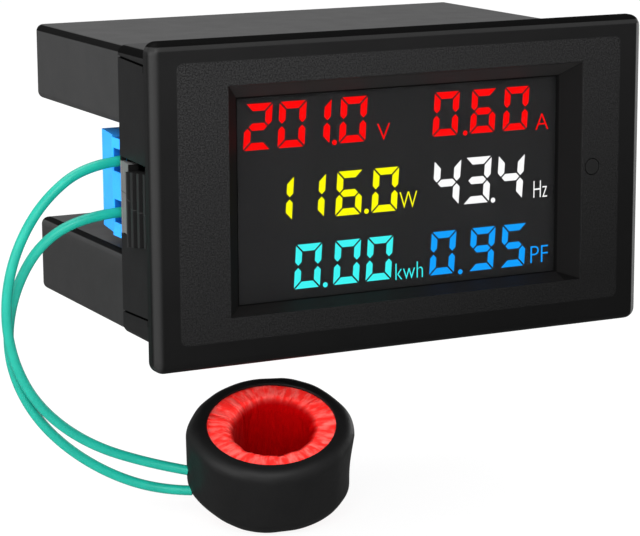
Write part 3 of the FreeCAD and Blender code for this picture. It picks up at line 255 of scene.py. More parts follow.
# Finishes of the housing. Places are in mm
FIELD_SIDE = 35.6
FIELD_LOW = -19.2
FIELD_HIGH = 20.0
FIELD_MIDDLE = (FIELD_LOW + FIELD_HIGH) / 2
FIELD_HALF = (FIELD_HIGH - FIELD_LOW) / 2
FIELD_ROUND = 1.0
FRONT = -2.4
PANE_LEFT = -25.4
PANE_RIGHT = 26.4
PANE_LOW = -14.9
PANE_HIGH = 14.3
RECESS_SIDE = 32.0
RECESS_HIGH = 18.0
BEVEL_TOP = 2.3
BEVEL_RIGHT = 2.9
BEVEL_LEFT = 2.6
SKIRT_X = 36.6
SKIRT_Z = 20.9
# where the painted highlight line on the flange top starts
RIM_HIGHLIGHT = 21.7
RIM_TOP = 22.3
# where the painted highlights on the side edges lie
HIGHLIGHT_RIGHT = 38.3
HIGHLIGHT_LEFT = (-39.48, -38.9)
HIGHLIGHT_DEPTH = -1.2
SIDE_START = 0.2
CASE_SIDE = 35.5
CASE_TOP = 19.72
MOUTH_SIDE = 34.75
MOUTH_LOW = -9.7
SEAM = 16.32
# where the painted shade on the lower prong starts
LOWER_PRONG = -12.0


def grain(finish, size, depth):
    """Spark-eroded grain: fine cells broken up by a finer cloud."""
    height = finish.cells(size) * 0.6 + finish.noise(size * 0.6, 3.0) * 0.6
    return finish.bump(height, depth)


def housing(name, dark, pale, gloss):
    """Start of a black housing: the finish, its cloudy colour and roughness, and a point's coordinates."""
    finish = Finish(name, Specular_IOR_Level=gloss)
    colour = finish.mix(finish.noise(9.0, 3.0), (dark, dark, dark * 1.01), (pale, pale, pale * 1.01))
    rough = finish.between(finish.noise(4.0, 4.0), 0.36, 0.48)
    return finish, colour, rough, finish.axes()


def bezel_housing():
    """Bezel black: satin sides, a smooth dark rim and the grained field inside it, with painted shade that
    makes them all a little duller toward the lower right. The slits, the inner walls, the skirt's upper
    edge and the flange top carry painted shade that is nearly black, the flange's rounded top edge a
    painted highlight line, the skirt's top face a paler painted sheen, and the side edges painted
    highlights. The bevel round the pane is painted lighter above than beside it, with painted shade on
    its right."""
    finish, colour, rough, (x, y, z) = housing("bezel_black", 0.004, 0.006, 0.14)
    across = finish.maths("ABSOLUTE", x)
    level = finish.maths("ABSOLUTE", z)
    up = finish.maths("ABSOLUTE", z - FIELD_MIDDLE * MM)
    corner = ((finish.maths("MAXIMUM", across - (FIELD_SIDE - FIELD_ROUND) * MM, 0.0) ** 2
               + finish.maths("MAXIMUM", up - (FIELD_HALF - FIELD_ROUND) * MM, 0.0) ** 2) ** 0.5)
    inside = (1 - finish.past(corner, FIELD_ROUND - 0.08, 0.16)) * (1 - finish.past(y, FRONT + 0.03, 0.09))
    speck = finish.step(finish.noise(0.2, 1.0), 0.3, 0.7)
    face = finish.mix(speck, (0.0035, 0.0035, 0.0036), (0.0155, 0.0155, 0.0157))
    colour = finish.mix(inside, colour, face)
    # painted shade: the colour darkens toward the bottom and the right, as the light falls off there
    clear = finish.clamp(0.5 + z * 20.0 - x * 6.0)
    colour = finish.mix(1 - clear, colour, finish.mix(0.62, colour, (0.0, 0.0, 0.0)))
    # painted highlights: a pale strip along the right side edge and a paler band on the left edge's front,
    # where lamps glint
    colour = finish.mix(finish.past(x, HIGHLIGHT_RIGHT, 0.2), colour, (0.07, 0.07, 0.07))
    painted_highlight = (finish.past(x, HIGHLIGHT_LEFT[0], 0.18) * (1 - finish.past(x, HIGHLIGHT_LEFT[1], 0.8))
            * (1 - finish.past(y, HIGHLIGHT_DEPTH, 0.3)))
    colour = finish.mix(painted_highlight, colour, (0.014, 0.014, 0.014))

    # the skirt gets its own dark tone, with a paler painted sheen on its top face
    side = finish.past(y, SIDE_START, 0.2)
    upper = finish.past(z, SKIRT_Z - 0.3)
    colour = finish.mix(side, colour, finish.mix(upper, (0.0068, 0.0068, 0.0069), (0.017, 0.017, 0.0172)))
    # painted shade: the inner walls, the skirt's rounded upper edges and the flange top are marked for the
    # matt near-black laid on at the end
    painted_recess_shade = (side * (1 - finish.past(across, SKIRT_X - 0.1, 0.06))
            * (1 - finish.past(level, SKIRT_Z - 1.6)))
    painted_fillet_shade = side * finish.past(across, SKIRT_X - 0.95) * finish.past(z, SKIRT_Z - 1.15)
    top = finish.past(z, RIM_TOP)
    # painted highlight: a paler line along the flange's rounded top edge, below its painted black top
    line = finish.past(z, RIM_HIGHLIGHT, 0.15) - top
    black = finish.clamp(painted_recess_shade + painted_fillet_shade + top)
    colour = finish.mix(line, colour, (0.0115, 0.0115, 0.0115))

    # painted light: the bevel is paler above the pane than beside it, and its right side gets painted shade
    # from the matt near-black at the end
    bevel = ((1 - finish.past(across, RECESS_SIDE, 0.5)) * (1 - finish.past(level, RECESS_HIGH, 0.5))
             * finish.past(y, FRONT + 0.1))
    over_top = (z - PANE_HIGH * MM) / (BEVEL_TOP * MM)
    over_right = (x - PANE_RIGHT * MM) / (BEVEL_RIGHT * MM)
    over_left = (PANE_LEFT * MM - x) / (BEVEL_LEFT * MM)
    above = finish.step(over_top - finish.maths("MAXIMUM", over_right, over_left), 0.0, 0.03)
    painted_bevel_shade = bevel * finish.past(x, PANE_RIGHT, 0.3) * (1 - above)
    colour = finish.mix(bevel, colour, finish.mix(above, (0.0045, 0.0042, 0.0042), (0.012, 0.0115, 0.0115)))

    finish.set("Base Color", colour)
    dull = finish.clamp(inside + bevel)
    finish.set("Roughness", rough * (1 - dull) + dull * 0.65)
    height = (finish.cells(0.42) * 0.7 + finish.noise(0.26, 3.0) * 0.6) * (0.06 + inside * 0.94)
    finish.set("Normal", finish.bump(height, 0.05))
    # painted shade: matt near-black over the inner walls, the rounded edges and the flange top, and part way
    # over the right bevel
    finish.flat(finish.clamp(black * 0.94 + painted_bevel_shade * 0.6), (0.002, 0.002, 0.002))
    return finish.material


def case_housing():
    """Case black: fine grain on the walls, painted shade that darkens the lower prong, and painted shade,
    nearly black, along the rounded long edges, at the mouth's sides and in the seam behind the skirt."""
    finish, colour, rough, (x, y, z) = housing("case_black", 0.019, 0.0245, 0.3)
    away = finish.maths("ABSOLUTE", x)
    # painted shade: the rounded long edges, the mouth's sides and the seam behind the skirt get matt
    # near-black at the end
    top = finish.past(away, CASE_SIDE) * finish.past(z, CASE_TOP, 0.08)
    mouth = finish.past(away, MOUTH_SIDE) * finish.past(z, MOUTH_LOW) * (1 - finish.past(z, 0.0, 1.0))
    seam = 1 - finish.past(y, SEAM)
    # painted shade: the lower prong is darkened toward the bottom
    lower = 1 - finish.past(z, LOWER_PRONG, 4.0)
    finish.set("Base Color", finish.mix(lower * 0.3, colour, (0.0, 0.0, 0.0)))
    finish.set("Roughness", rough)
    finish.set("Normal", grain(finish, 0.22, 0.008))
    # painted shade laid on as matt near-black
    finish.flat(finish.clamp(top + mouth + seam) * 0.94, (0.003, 0.003, 0.003))
    return finish.material


PARTING_HEIGHT = -1.6
PARTING_BEND = 1.6
BEND_START = 9.0
RAMP_START = 11.85
RAMP_TOP = 9.0
CREST = 37.79


def latch_housing(painted_light_top=RAMP_TOP):
    """Housing black, with the thin moulding line that bends across the teeth, the ramp behind them
    painted paler as if lit, and crests painted a little paler than the flats as highlights."""
    finish = Finish("latch_black", Specular_IOR_Level=0.2)
    x, y, z = finish.axes()
    cloud = finish.noise(6.0, 3.0)
    line = z - PARTING_HEIGHT * MM - finish.past(y, BEND_START, 2.5) * (PARTING_BEND * MM)
    crease = 1 - finish.past(finish.maths("ABSOLUTE", line), 0.04, 0.05)
    # painted light: the ramp behind the teeth is painted pale grey up to the given height
    ramp = finish.past(y, RAMP_START - 0.1, 0.2) * (1 - finish.past(z, painted_light_top))
    # painted highlight: the crests are painted paler than the flats
    painted_crest_highlight = finish.past(finish.maths("ABSOLUTE", x), CREST, 0.06)
    colour = finish.mix(painted_crest_highlight, finish.mix(cloud, (0.003, 0.003, 0.003), (0.005, 0.005, 0.005)),
                        (0.011, 0.011, 0.0112))
    colour = finish.mix(ramp, colour, finish.mix(cloud, (0.09, 0.091, 0.091), (0.112, 0.113, 0.113)))
    finish.set("Base Color", finish.mix(crease * 0.8, colour, (0.02, 0.02, 0.02)))
    finish.set("Roughness", finish.between(cloud, 0.42, 0.52))
    height = (1 - crease) + finish.cells(0.22) * 0.08
    finish.set("Normal", finish.bump(height, 0.05))
    finish.flat((1 - finish.clamp(ramp + painted_crest_highlight + crease)) * 0.75, (0.006, 0.006, 0.006))
    return finish.material


# Finishes of the other pieces
LENS_SHARE = 0.5
# how far back the terminal block's painted shadow reaches
SKIRT_SHADOW_DEPTH = 16.05
# where the painted shade in the wire entries lies
HOLE_FACE = 35.35
HOLE_HALF = 1.9


def smoked_pane():
    """Smoked acrylic: dark, thin enough that the lit reading and the grey film behind it show through."""
    finish = Finish("smoked_pane", Specular_IOR_Level=0.12, Alpha=LENS_SHARE)
    marks = finish.noise(3.0, 4.0, finish.stretched(1, 1, 7))
    finish.set("Base Color", finish.mix(marks, (0.0015, 0.0015, 0.0016), (0.003, 0.003, 0.0032)))
    finish.set("Roughness", finish.between(marks, 0.3, 0.38))
    return finish.material


def grey_film():
    """Printed film behind the reading: an even dark grey with a faint cloud."""
    finish = Finish("grey_film", Specular_IOR_Level=0.1, Roughness=0.8)
    finish.set("Base Color", finish.mix(finish.noise(8.0, 2.0), (0.1, 0.1, 0.102), (0.116, 0.116, 0.118)))
    return finish.material


def moulding(name, dark, pale, rough, size=0.25, depth=0.01, gloss=0.45):
    """Moulded plastic: a colour that wanders between two tones, and a fine grain."""
    finish = Finish(name, Specular_IOR_Level=gloss)
    cloud = finish.noise(size * 18, 3.0)
    finish.set("Base Color", finish.mix(cloud, dark, pale))
    finish.set("Roughness", finish.between(finish.noise(size * 9, 3.0), rough - 0.05, rough + 0.07))
    finish.set("Normal", grain(finish, size, depth))
    return finish.material


def board(name):
    """Green solder mask over copper tracks that stand a little proud."""
    finish = Finish(name, Coat_Weight=0.3)
    tracks = finish.node("ShaderNodeTexBrick", {"offset": 0.5},
                         {"Vector": finish.stretched(1, 0, 1), "Scale": 120.0, "Mortar Size": 0.045,
                          "Color1": (0.0, 0.0, 0.0), "Color2": (0.0, 0.0, 0.0), "Mortar": (1.0, 1.0, 1.0)})
    finish.set("Base Color", finish.mix(tracks, (0.008, 0.1, 0.03), (0.02, 0.2, 0.06)))
    finish.set("Roughness", finish.between(finish.noise(2.0), 0.28, 0.4))
    finish.set("Normal", finish.bump(tracks, 0.03))
    return finish.material


def brushed(name, colour, rough, along):
    """Metal with drawn lines along one axis and a few darker stains."""
    finish = Finish(name, Metallic=1.0)
    squeeze = [1.0, 1.0, 1.0]
    squeeze[along] = 0.06
    lines = finish.noise(0.12, 3.0, finish.stretched(*squeeze))
    stain = finish.noise(1.6, 4.0)
    dull = tuple(c * 0.72 for c in colour)
    finish.set("Base Color", finish.mix(stain, dull, colour))
    finish.set("Roughness", lines * 0.2 + (rough - 0.1))
    finish.set("Normal", finish.bump(lines, 0.006))
    return finish.material


def wound(name, dark, pale, width, metal=0.0):
    """Turns laid side by side along Y, each a rounded band."""
    finish = Finish(name, Metallic=metal)
    along = finish.axes()[1]
    band = finish.maths("PINGPONG", along, width * MM / 2) / (width * MM / 2)
    finish.set("Base Color", finish.mix(band, dark, pale))
    finish.set("Roughness", finish.between(finish.noise(1.0), 0.3, 0.45))
    finish.set("Normal", finish.bump(band, width / 3))
    return finish.material


def insulation():
    """Teal insulation: a smooth, faintly uneven skin with a cloudy tone and patches of duller gloss."""
    finish = Finish("teal_insulation", Specular_IOR_Level=0.25)
    cloud = finish.noise(2.5, 4.0)
    finish.set("Base Color", finish.mix(cloud, (0.003, 0.18, 0.135), (0.005, 0.25, 0.185)))
    finish.set("Roughness", finish.between(finish.noise(0.9, 3.0), 0.32, 0.48))
    finish.set("Normal", finish.bump(finish.noise(0.35, 3.0), 0.012))
    return finish.material


def shrunk_sleeve():
    """Shrunk tube: black, half glossy, with soft ripples and fine scuffs."""
    finish = Finish("shrunk_sleeve", Specular_IOR_Level=0.26)
    cloud = finish.noise(5.0, 4.0)
    scuff = finish.noise(0.5, 5.0, finish.stretched(1, 1, 0.4))
    finish.set("Base Color", finish.mix(cloud, (0.003, 0.003, 0.0031), (0.0055, 0.0055, 0.0056)))
    finish.set("Roughness", finish.between(cloud, 0.44, 0.54) + scuff * 0.1)
    finish.set("Normal", finish.bump(finish.noise(1.8, 3.0) + scuff * 0.25, 0.05))
    return finish.material


def red_tape():
    """Glossy tape with paler streaks of painted highlight over the face, and painted shade that makes it
    much deeper red down the bore. The streaks run along tape_place: round the ring in X and Y, and slowly
    along the profile in Z."""
    finish = Finish("red_tape", Specular_IOR_Level=0.3)
    place = finish.node("ShaderNodeAttribute", {"attribute_name": "tape_place"}, {}, "Vector")
    depth = finish.node("ShaderNodeAttribute", {"attribute_name": "painted_bore_shade"}, {}, "Fac")
    streak = finish.noise(0.9, 4.0, place, 0.6)
    # painted highlight: paler streaks on the face
    painted_streak_highlight = finish.step(streak, 0.4, 0.64)
    face = finish.mix(painted_streak_highlight, (0.98, 0.022, 0.018), (1.0, 0.115, 0.1))
    # painted shade: deeper red down the bore
    finish.set("Base Color", finish.mix(depth, face, (0.36, 0.0004, 0.0008)))
    finish.set("Roughness", finish.between(streak, 0.5, 0.3))
    finish.set("Normal", finish.bump(streak, 0.09))
    # painted shade: matt dark red laid over the bore
    finish.flat(depth, finish.mix(streak, (0.16, 0.0003, 0.0008), (0.34, 0.0006, 0.001)))
    return finish.material


def lit(name, colour):
    """Lit plate under the smoked pane: as bright as the pane's two faces ask, with a little even glow."""
    finish = Finish(name, Base_Color=(0.0, 0.0, 0.0), Roughness=0.6, Specular_IOR_Level=0.0,
                    Emission_Strength=1 / (1 - LENS_SHARE) ** 2)
    glow = finish.noise(1.2, 2.0)
    dim = tuple(c * 0.97 for c in colour)
    finish.set("Emission Color", finish.mix(glow, dim, colour))
    return finish.material


def terminal_blue():
    """Blue nylon with a cloudy tone, painted shade that makes it deeper in the wire entries, and painted
    shadow that is black where the block stands inside the skirt."""
    finish = Finish("terminal_blue", Specular_IOR_Level=0.3)
    x, y, z = finish.axes()
    blue = finish.mix(finish.noise(3.6, 3.0), (0.01, 0.26, 0.8), (0.016, 0.33, 0.93))
    # painted shadow: black where the block stands inside the skirt
    painted_skirt_shadow = 1 - finish.past(y, SKIRT_SHADOW_DEPTH)
    # painted shade inside the wire entries
    painted_entry_shade = ((1 - finish.past(finish.maths("ABSOLUTE", x), HOLE_FACE))
            * (1 - finish.past(finish.maths("ABSOLUTE", y - LEAD_START[1] * MM), HOLE_HALF)))
    blue = finish.mix(painted_entry_shade, blue, (0.003, 0.09, 0.4))
    finish.set("Base Color", finish.mix(painted_skirt_shadow, blue, (0.002, 0.002, 0.003)))
    finish.set("Roughness", finish.between(finish.noise(1.8, 3.0), 0.37, 0.49))
    finish.set("Normal", grain(finish, 0.2, 0.012))
    return finish.material


def dress_nodes(by_slot, by_node):
    """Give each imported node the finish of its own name, or of its material slot."""
    for row in frame["record"]["subparts"]:
        node = frame["nodes"][row["node"]]
        finish = by_node.get(row["node"]) or by_slot[row["material_slot"]]
        node.data.materials.clear()
        node.data.materials.append(finish)


# Lit reading, in mm, as wide, high and leaning as in the photograph
DIGIT_WIDTH = 4.12
DIGIT_HEIGHT = 6.4
DIGIT_SLANT = 0.065
STROKE = 1.0
WEB = 0.25
DOT_RADIUS = 0.37
DOT_SIDES = 24
LETTER_THINNING = -0.016
FILM_MARGIN = 1.0
LIT_FRONT = 1.67
LIT_BACK = 1.7
FILM_FRONT = 1.71
FILM_BACK = 1.74
RED = (1.0, 0.0, 0.0)
YELLOW = (1.0, 1.0, 0.0)
WHITE = (1.0, 1.0, 1.0)
CYAN = (0.05, 0.92, 0.91)
BLUE = (0.004, 0.35, 1.0)
SEGMENTS = {"0": "abcdef", "1": "be", "2": "abcfg", "3": "abceg", "4": "bdeg", "5": "acdeg",
            "6": "acdefg", "9": "abcdeg"}


def segment_outlines():
    """The seven outlines of a digit about its middle: a top, c bottom, b and e the right side, d and f
    the left side, g the middle bar. Corners are mitred at 45 degrees, and bars meet in points."""
    half_w = DIGIT_WIDTH / 2
    half_h = DIGIT_HEIGHT / 2
    t = STROKE
    k = WEB / math.sqrt(2)
    bar = np.array(((k - half_w, half_h), (half_w - k, half_h), (half_w - t - k, half_h - t),
                    (t + k - half_w, half_h - t)))
    upright = np.array(((half_w, half_h - k), (half_w, t / 2 + k), (half_w - t / 2, k),
                        (half_w - t, t / 2 + k), (half_w - t, half_h - t - k)))
    tip = half_w - t / 2 - k
    waist = half_w - t - k
    middle = np.array(((-tip, 0), (-waist, t / 2), (waist, t / 2), (tip, 0), (waist, -t / 2),
                       (-waist, -t / 2)))
    flip_x = np.array((-1, 1))
    flip_z = np.array((1, -1))
    return {"a": bar, "c": (bar * flip_z)[::-1], "b": upright, "d": (upright * flip_x)[::-1],
            "e": (upright * flip_z)[::-1], "f": upright * flip_x * flip_z, "g": middle}


def prisms(outlines, front, back):
    """Closed plates: each outline in X and Z, clockwise from the front, stands at the front and the back
    depth, joined by one strip of sides."""
    points = []
    faces = []
    for outline in outlines:
        count = len(outline)
        start = sum(len(part) for part in points)
        for depth in (front, back):
            points.append(np.column_stack((outline[:, 0], np.full(count, depth), outline[:, 1])))
        near = np.arange(count) + start
        far = near + count
        faces.append(near[::-1].tolist())
        faces.append(far.tolist())
        sides = np.column_stack((near, np.roll(near, -1), np.roll(far, -1), far))
        faces.extend(sides.tolist())
    return np.concatenate(points), faces


def add_piece(name, points, faces, finish, smooth=False):
    """A new piece of the meter from points in mm and faces of their numbers."""
    mesh = bpy.data.meshes.new(name)
    mesh.from_pydata((points * MM).tolist(), [], faces)
    mesh.update()
    if smooth:
        mesh.shade_smooth()
    piece = bpy.data.objects.new(name, mesh)
    bpy.context.scene.collection.objects.link(piece)
    mesh.materials.append(finish)
    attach(piece, "meter")
    return piece


def rectangle(left, right, low, high):
    """Corners in X and Z, clockwise from the front."""
    return np.array(((left, high), (right, high), (right, low), (left, low)))


def leaned(outline, x, z):
    """An outline about its middle, leaned to the right with height and put at its place."""
    return np.column_stack((outline[:, 0] + outline[:, 1] * DIGIT_SLANT + x, outline[:, 1] + z))


def reading(text, places, z, size):
    """Outlines of one group of lit digits, whose middles are at the places, z high."""
    outlines = segment_outlines()
    return [leaned(outlines[part] * size, x, z) for digit, x in zip(text, places) for part in SEGMENTS[digit]]


def dot(x, z):
    """Round decimal dot."""
    turn = -np.arange(DOT_SIDES) / DOT_SIDES * 2 * math.pi
    return np.column_stack((x + DOT_RADIUS * np.cos(turn), z + DOT_RADIUS * np.sin(turn)))


# Each group's name, digits, the middles of those, its height, its size, its dot and its colour
READINGS = (
    ("volts", "2010", (-21.67, -16.37, -12.43, -6.68), 10.0, 1.02, (-9.70, 6.92), RED),
    ("amps", "060", (8.46, 14.70, 20.24), 9.79, 1.0, (11.67, 6.75), RED),
    ("watts", "1160", (-18.39, -13.33, -7.37, -1.54), -0.53, 1.0, (-4.59, -3.43), YELLOW),
    ("hertz", "434", (8.61, 13.75, 19.41), -0.36, 1.07, (16.46, -3.57), WHITE),
    ("energy", "000", (-14.01, -7.75, -2.49), -10.53, 1.0, (-11.27, -13.55), CYAN),
    ("factor", "095", (8.02, 14.67, 20.05), -10.68, 1.0, (10.98, -13.81), BLUE),
)
# Each unit's letters, and how far they reach across and up
UNITS = {
    "volts": ("V", (-2.86, -0.76), (6.69, 9.11)),
    "amps": ("A", (23.62, 25.84), (6.37, 8.75)),
    "watts": ("W", (0.81, 3.70), (-3.52, -1.11)),
    "hertz": ("Hz", (23.42, 25.78), (-3.80, -1.28)),
    "energy": ("kwh", (0.15, 4.68), (-14.00, -11.57)),
    "factor": ("PF", (23.03, 26.04), (-13.66, -11.13)),
}


def unit_letters(name, text, across, up, finish):
    """Unit letters as a thin closed plate, drawn out to their width and height on the display."""
    curve = bpy.data.curves.new(name, "FONT")
    curve.body = text
    curve.extrude = 0.5
    curve.offset = LETTER_THINNING
    curve.resolution_u = 4
    holder = bpy.data.objects.new(name + "_text", curve)
    bpy.context.scene.collection.objects.link(holder)
    bpy.context.view_layer.update()
    mesh = bpy.data.meshes.new_from_object(holder.evaluated_get(bpy.context.evaluated_depsgraph_get()))
    bpy.data.objects.remove(holder)
    flat = np.zeros(len(mesh.vertices) * 3)
    mesh.vertices.foreach_get("co", flat)
    flat = flat.reshape(-1, 3)
    low, high = flat.min(0), flat.max(0)
    share = (flat - low) / (high - low)
    points = np.column_stack((across[0] + share[:, 0] * (across[1] - across[0]),
                              LIT_BACK + share[:, 2] * (LIT_FRONT - LIT_BACK),
                              up[0] + share[:, 1] * (up[1] - up[0])))
    faces = [list(face.vertices) for face in mesh.polygons]
    bpy.data.meshes.remove(mesh)
    return add_piece(name, points, faces, finish)


def make_reading():
    """The film, and before it six groups of lit digits with their dots and units."""
    film = rectangle(PANE_LEFT - FILM_MARGIN, PANE_RIGHT + FILM_MARGIN,
                     PANE_LOW - FILM_MARGIN, PANE_HIGH + FILM_MARGIN)
    points, faces = prisms([film], FILM_FRONT, FILM_BACK)
    add_piece("printed_film", points, faces, grey_film())
    for name, text, places, z, size, dot_place, colour in READINGS:
        finish = lit("lit_" + name, colour)
        outlines = reading(text, places, z, size) + [dot(*dot_place)]
        points, faces = prisms(outlines, LIT_FRONT, LIT_BACK)
        add_piece("digits_" + name, points, faces, finish)
        letters, across, up = UNITS[name]
        unit_letters("unit_" + name, letters, across, up, finish)


# Bars that close the latch windows behind the ramps, level with the skirt
BAR_INNER = 35.85
BAR_OUTER = 36.55
BAR_LOW = -6.15
BAR_HIGH = 5.15
BAR_FRONT = 15.62
BAR_BACK = 16.18
# height up to which the bars carry the latches' painted light
BAR_PAINTED_LIGHT_TOP = 4.35


def make_bars():
    """The two bars, finished as the latches are, but with the painted light of the ramp only up to their own
    middle height.
    """
    finish = latch_housing(BAR_PAINTED_LIGHT_TOP)
    for name, left, right in (("left", -BAR_OUTER, -BAR_INNER), ("right", BAR_INNER, BAR_OUTER)):
        points, faces = prisms([rectangle(left, right, BAR_LOW, BAR_HIGH)], BAR_FRONT, BAR_BACK)
        add_piece("window_bar_" + name, points, faces, finish)


# Wrapped ring of the current transformer, in mm about its own axis
RING_PLACE = (-12.5, 17.5, -42.7)
RING_LEAN = 23.6
RING_TURN = 25.4
RING_RADIUS = 12.6
RING_HALF = 6.25
BORE = 5.7
SLEEVE_WALL = 0.5
SLEEVE_MOUTH = 9.65
SLEEVE_ROUNDS = (0.2, 2.0, 2.8, 0.2, 0.2, 2.3, 1.5, 0.2)
SLEEVE_POINTS = 150
SLEEVE_AROUND = 420
SLEEVE_SINK = 0.16
SLEEVE_DEEPEST = 0.6
DRAWN_IN = 0.1
DRAWN_IN_MORE_BELOW = 0.32
LEAD_ANGLE = math.radians(158)
LEAD_SPREAD = 0.35
LEAD_SWELL = 0.25
WRAP_CLEARANCE = 0.45
WRAP_END_CLEARANCE = 0.05
WRAP_ROUNDS = (1.8, 2.0, 2.0, 0.9)
WRAP_POINTS = 110
WRAP_AROUND = 760
TAPE_TURNS = 34
TAPE_SKEW = 0.045
TAPE_STEP = 0.07
TAPE_BASE = 0.1
TAPE_WAVES = ((0.05, 9, 0.5), (0.04, 14, -0.3))
CREASES = 60
CREASE_REACH = 3.2
STREAK_RADIUS = 9
STREAK_STEP = 0.12
# where the painted shade down the bore begins, and where it begins later
DARK_START = 1.45
DARK_LATER = 0.85
DARK_LATER_AT = math.radians(165)


def put_on_ring(points):
    """Points about the ring's own axis, leaned and moved to its place."""
    turn = math.radians(RING_TURN)
    axis = Vector((math.cos(turn), -math.sin(turn), 0))
    lean = np.array(Matrix.Rotation(math.radians(RING_LEAN), 3, axis))
    return points @ lean.T + np.array(RING_PLACE)


def rounded_run(corners, radii, steps):
    """A closed profile past corners in radius and height, with an arc of its own radius at each, as
    points evenly spread over each arc. The straight stretches need only their ends."""
    found = []
    for number, (corner, radius) in enumerate(zip(corners, radii)):
        corner = np.array(corner, float)
        before = np.array(corners[number - 1]) - corner
        after = np.array(corners[(number + 1) % len(corners)]) - corner
        before = before / np.linalg.norm(before)
        after = after / np.linalg.norm(after)
        half = math.acos(float(before @ after)) / 2
        reach = radius / math.tan(half)
        centre = corner + (before + after) / np.linalg.norm(before + after) * radius / math.sin(half)
        first = corner + before * reach - centre
        last = corner + after * reach - centre
        swing = math.pi - half * 2
        share = np.linspace(0, 1, steps)[:, None]
        found.append(centre + (first * np.sin((1 - share) * swing) + last * np.sin(share * swing))
                     / math.sin(swing))
    return np.concatenate(found)


def spread(profile, count):
    """The same closed profile as count points, evenly spaced along its length."""
    closed = np.vstack((profile, profile[:1]))
    along = np.concatenate(([0], np.cumsum(np.linalg.norm(np.diff(closed, axis=0), axis=1))))
    at = np.arange(count) / count * along[-1]
    return np.column_stack((np.interp(at, along, closed[:, 0]), np.interp(at, along, closed[:, 1])))


def outward(profile):
    """Unit normals in radius and height along a closed profile that runs clockwise seen with the radius
    to the right, which point away from its inside."""
    ahead = np.roll(profile, -1, axis=0) - np.roll(profile, 1, axis=0)
    ahead = ahead / np.linalg.norm(ahead, axis=1)[:, None]
    return np.column_stack((-ahead[:, 1], ahead[:, 0]))


def turned_surface(name, profile, height, around, finish):
    """A closed profile turned about the ring's axis: point number t of the profile at angle a lies at the
    profile's radius and height there, moved out along its normal by the height that height(a) gives t."""
    angle = np.arange(around) / around * 2 * math.pi
    normal = outward(profile)
    rise = height(angle[:, None])
    radius = profile[None, :, 0] + normal[None, :, 0] * rise
    level = profile[None, :, 1] + normal[None, :, 1] * rise
    points = np.stack((radius * np.cos(angle)[:, None], radius * np.sin(angle)[:, None], level), -1)
    rows, columns = np.meshgrid(np.arange(around), np.arange(len(profile)), indexing="ij")
    next_row, next_column = (rows + 1) % around, (columns + 1) % len(profile)
    width = len(profile)
    quads = np.stack((rows * width + columns, rows * width + next_column,
                      next_row * width + next_column, next_row * width + columns), -1).reshape(-1, 4)
    return add_piece(name, put_on_ring(points.reshape(-1, 3)), quads.tolist(), finish, smooth=True)


def make_sleeve(finish):
    """Shrunk sleeve: a rounded square section open on the bore. Its outside sinks a little between soft
    ribs, the whole is drawn in toward its lower end, and it swells where the leads go in."""
    inner = RING_RADIUS - SLEEVE_WALL
    inner_half = RING_HALF - SLEEVE_WALL
    outline = rounded_run(
        ((SLEEVE_MOUTH, RING_HALF), (RING_RADIUS, RING_HALF), (RING_RADIUS, -RING_HALF),
         (SLEEVE_MOUTH, -RING_HALF), (SLEEVE_MOUTH, -inner_half), (inner, -inner_half),
         (inner, inner_half), (SLEEVE_MOUTH, inner_half)), SLEEVE_ROUNDS, 14)
    profile = spread(outline, SLEEVE_POINTS)
    draw = np.random.default_rng(7)
    waves = [(count, draw.uniform(0, 2 * math.pi), draw.uniform(0, 2 * math.pi), draw.uniform(-0.5, 0.5))
             for count in (3, 5, 7, 11, 17)]

    def rise(angle):
        level = profile[None, :, 1]
        normal = outward(profile)[None, :, 0]
        wave = sum(np.sin(angle * count + phase + level * skew) * np.sin(angle * 2 + other) / count
                   for count, phase, other, skew in waves)
        away = (angle - LEAD_ANGLE + math.pi) % (2 * math.pi) - math.pi
        held = np.exp(-(away / LEAD_SPREAD) ** 2)
        sunk = (wave * 0.5 - SLEEVE_SINK).clip(-SLEEVE_DEEPEST, 0)
        ripple = (sunk * (1 - held) + LEAD_SWELL * held) * (normal > -0.2)
        drawn_in = DRAWN_IN + DRAWN_IN_MORE_BELOW * np.clip(0.5 - level / (2 * RING_HALF), 0, 1)
        from_mouth = np.clip((profile[None, :, 0] - SLEEVE_MOUTH) / 2.5, 0, 1)
        return (ripple - normal * drawn_in * (1 - held)) * from_mouth

    piece = turned_surface("sleeve", profile, rise, SLEEVE_AROUND, finish)
    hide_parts("ct_sleeve")
    return piece


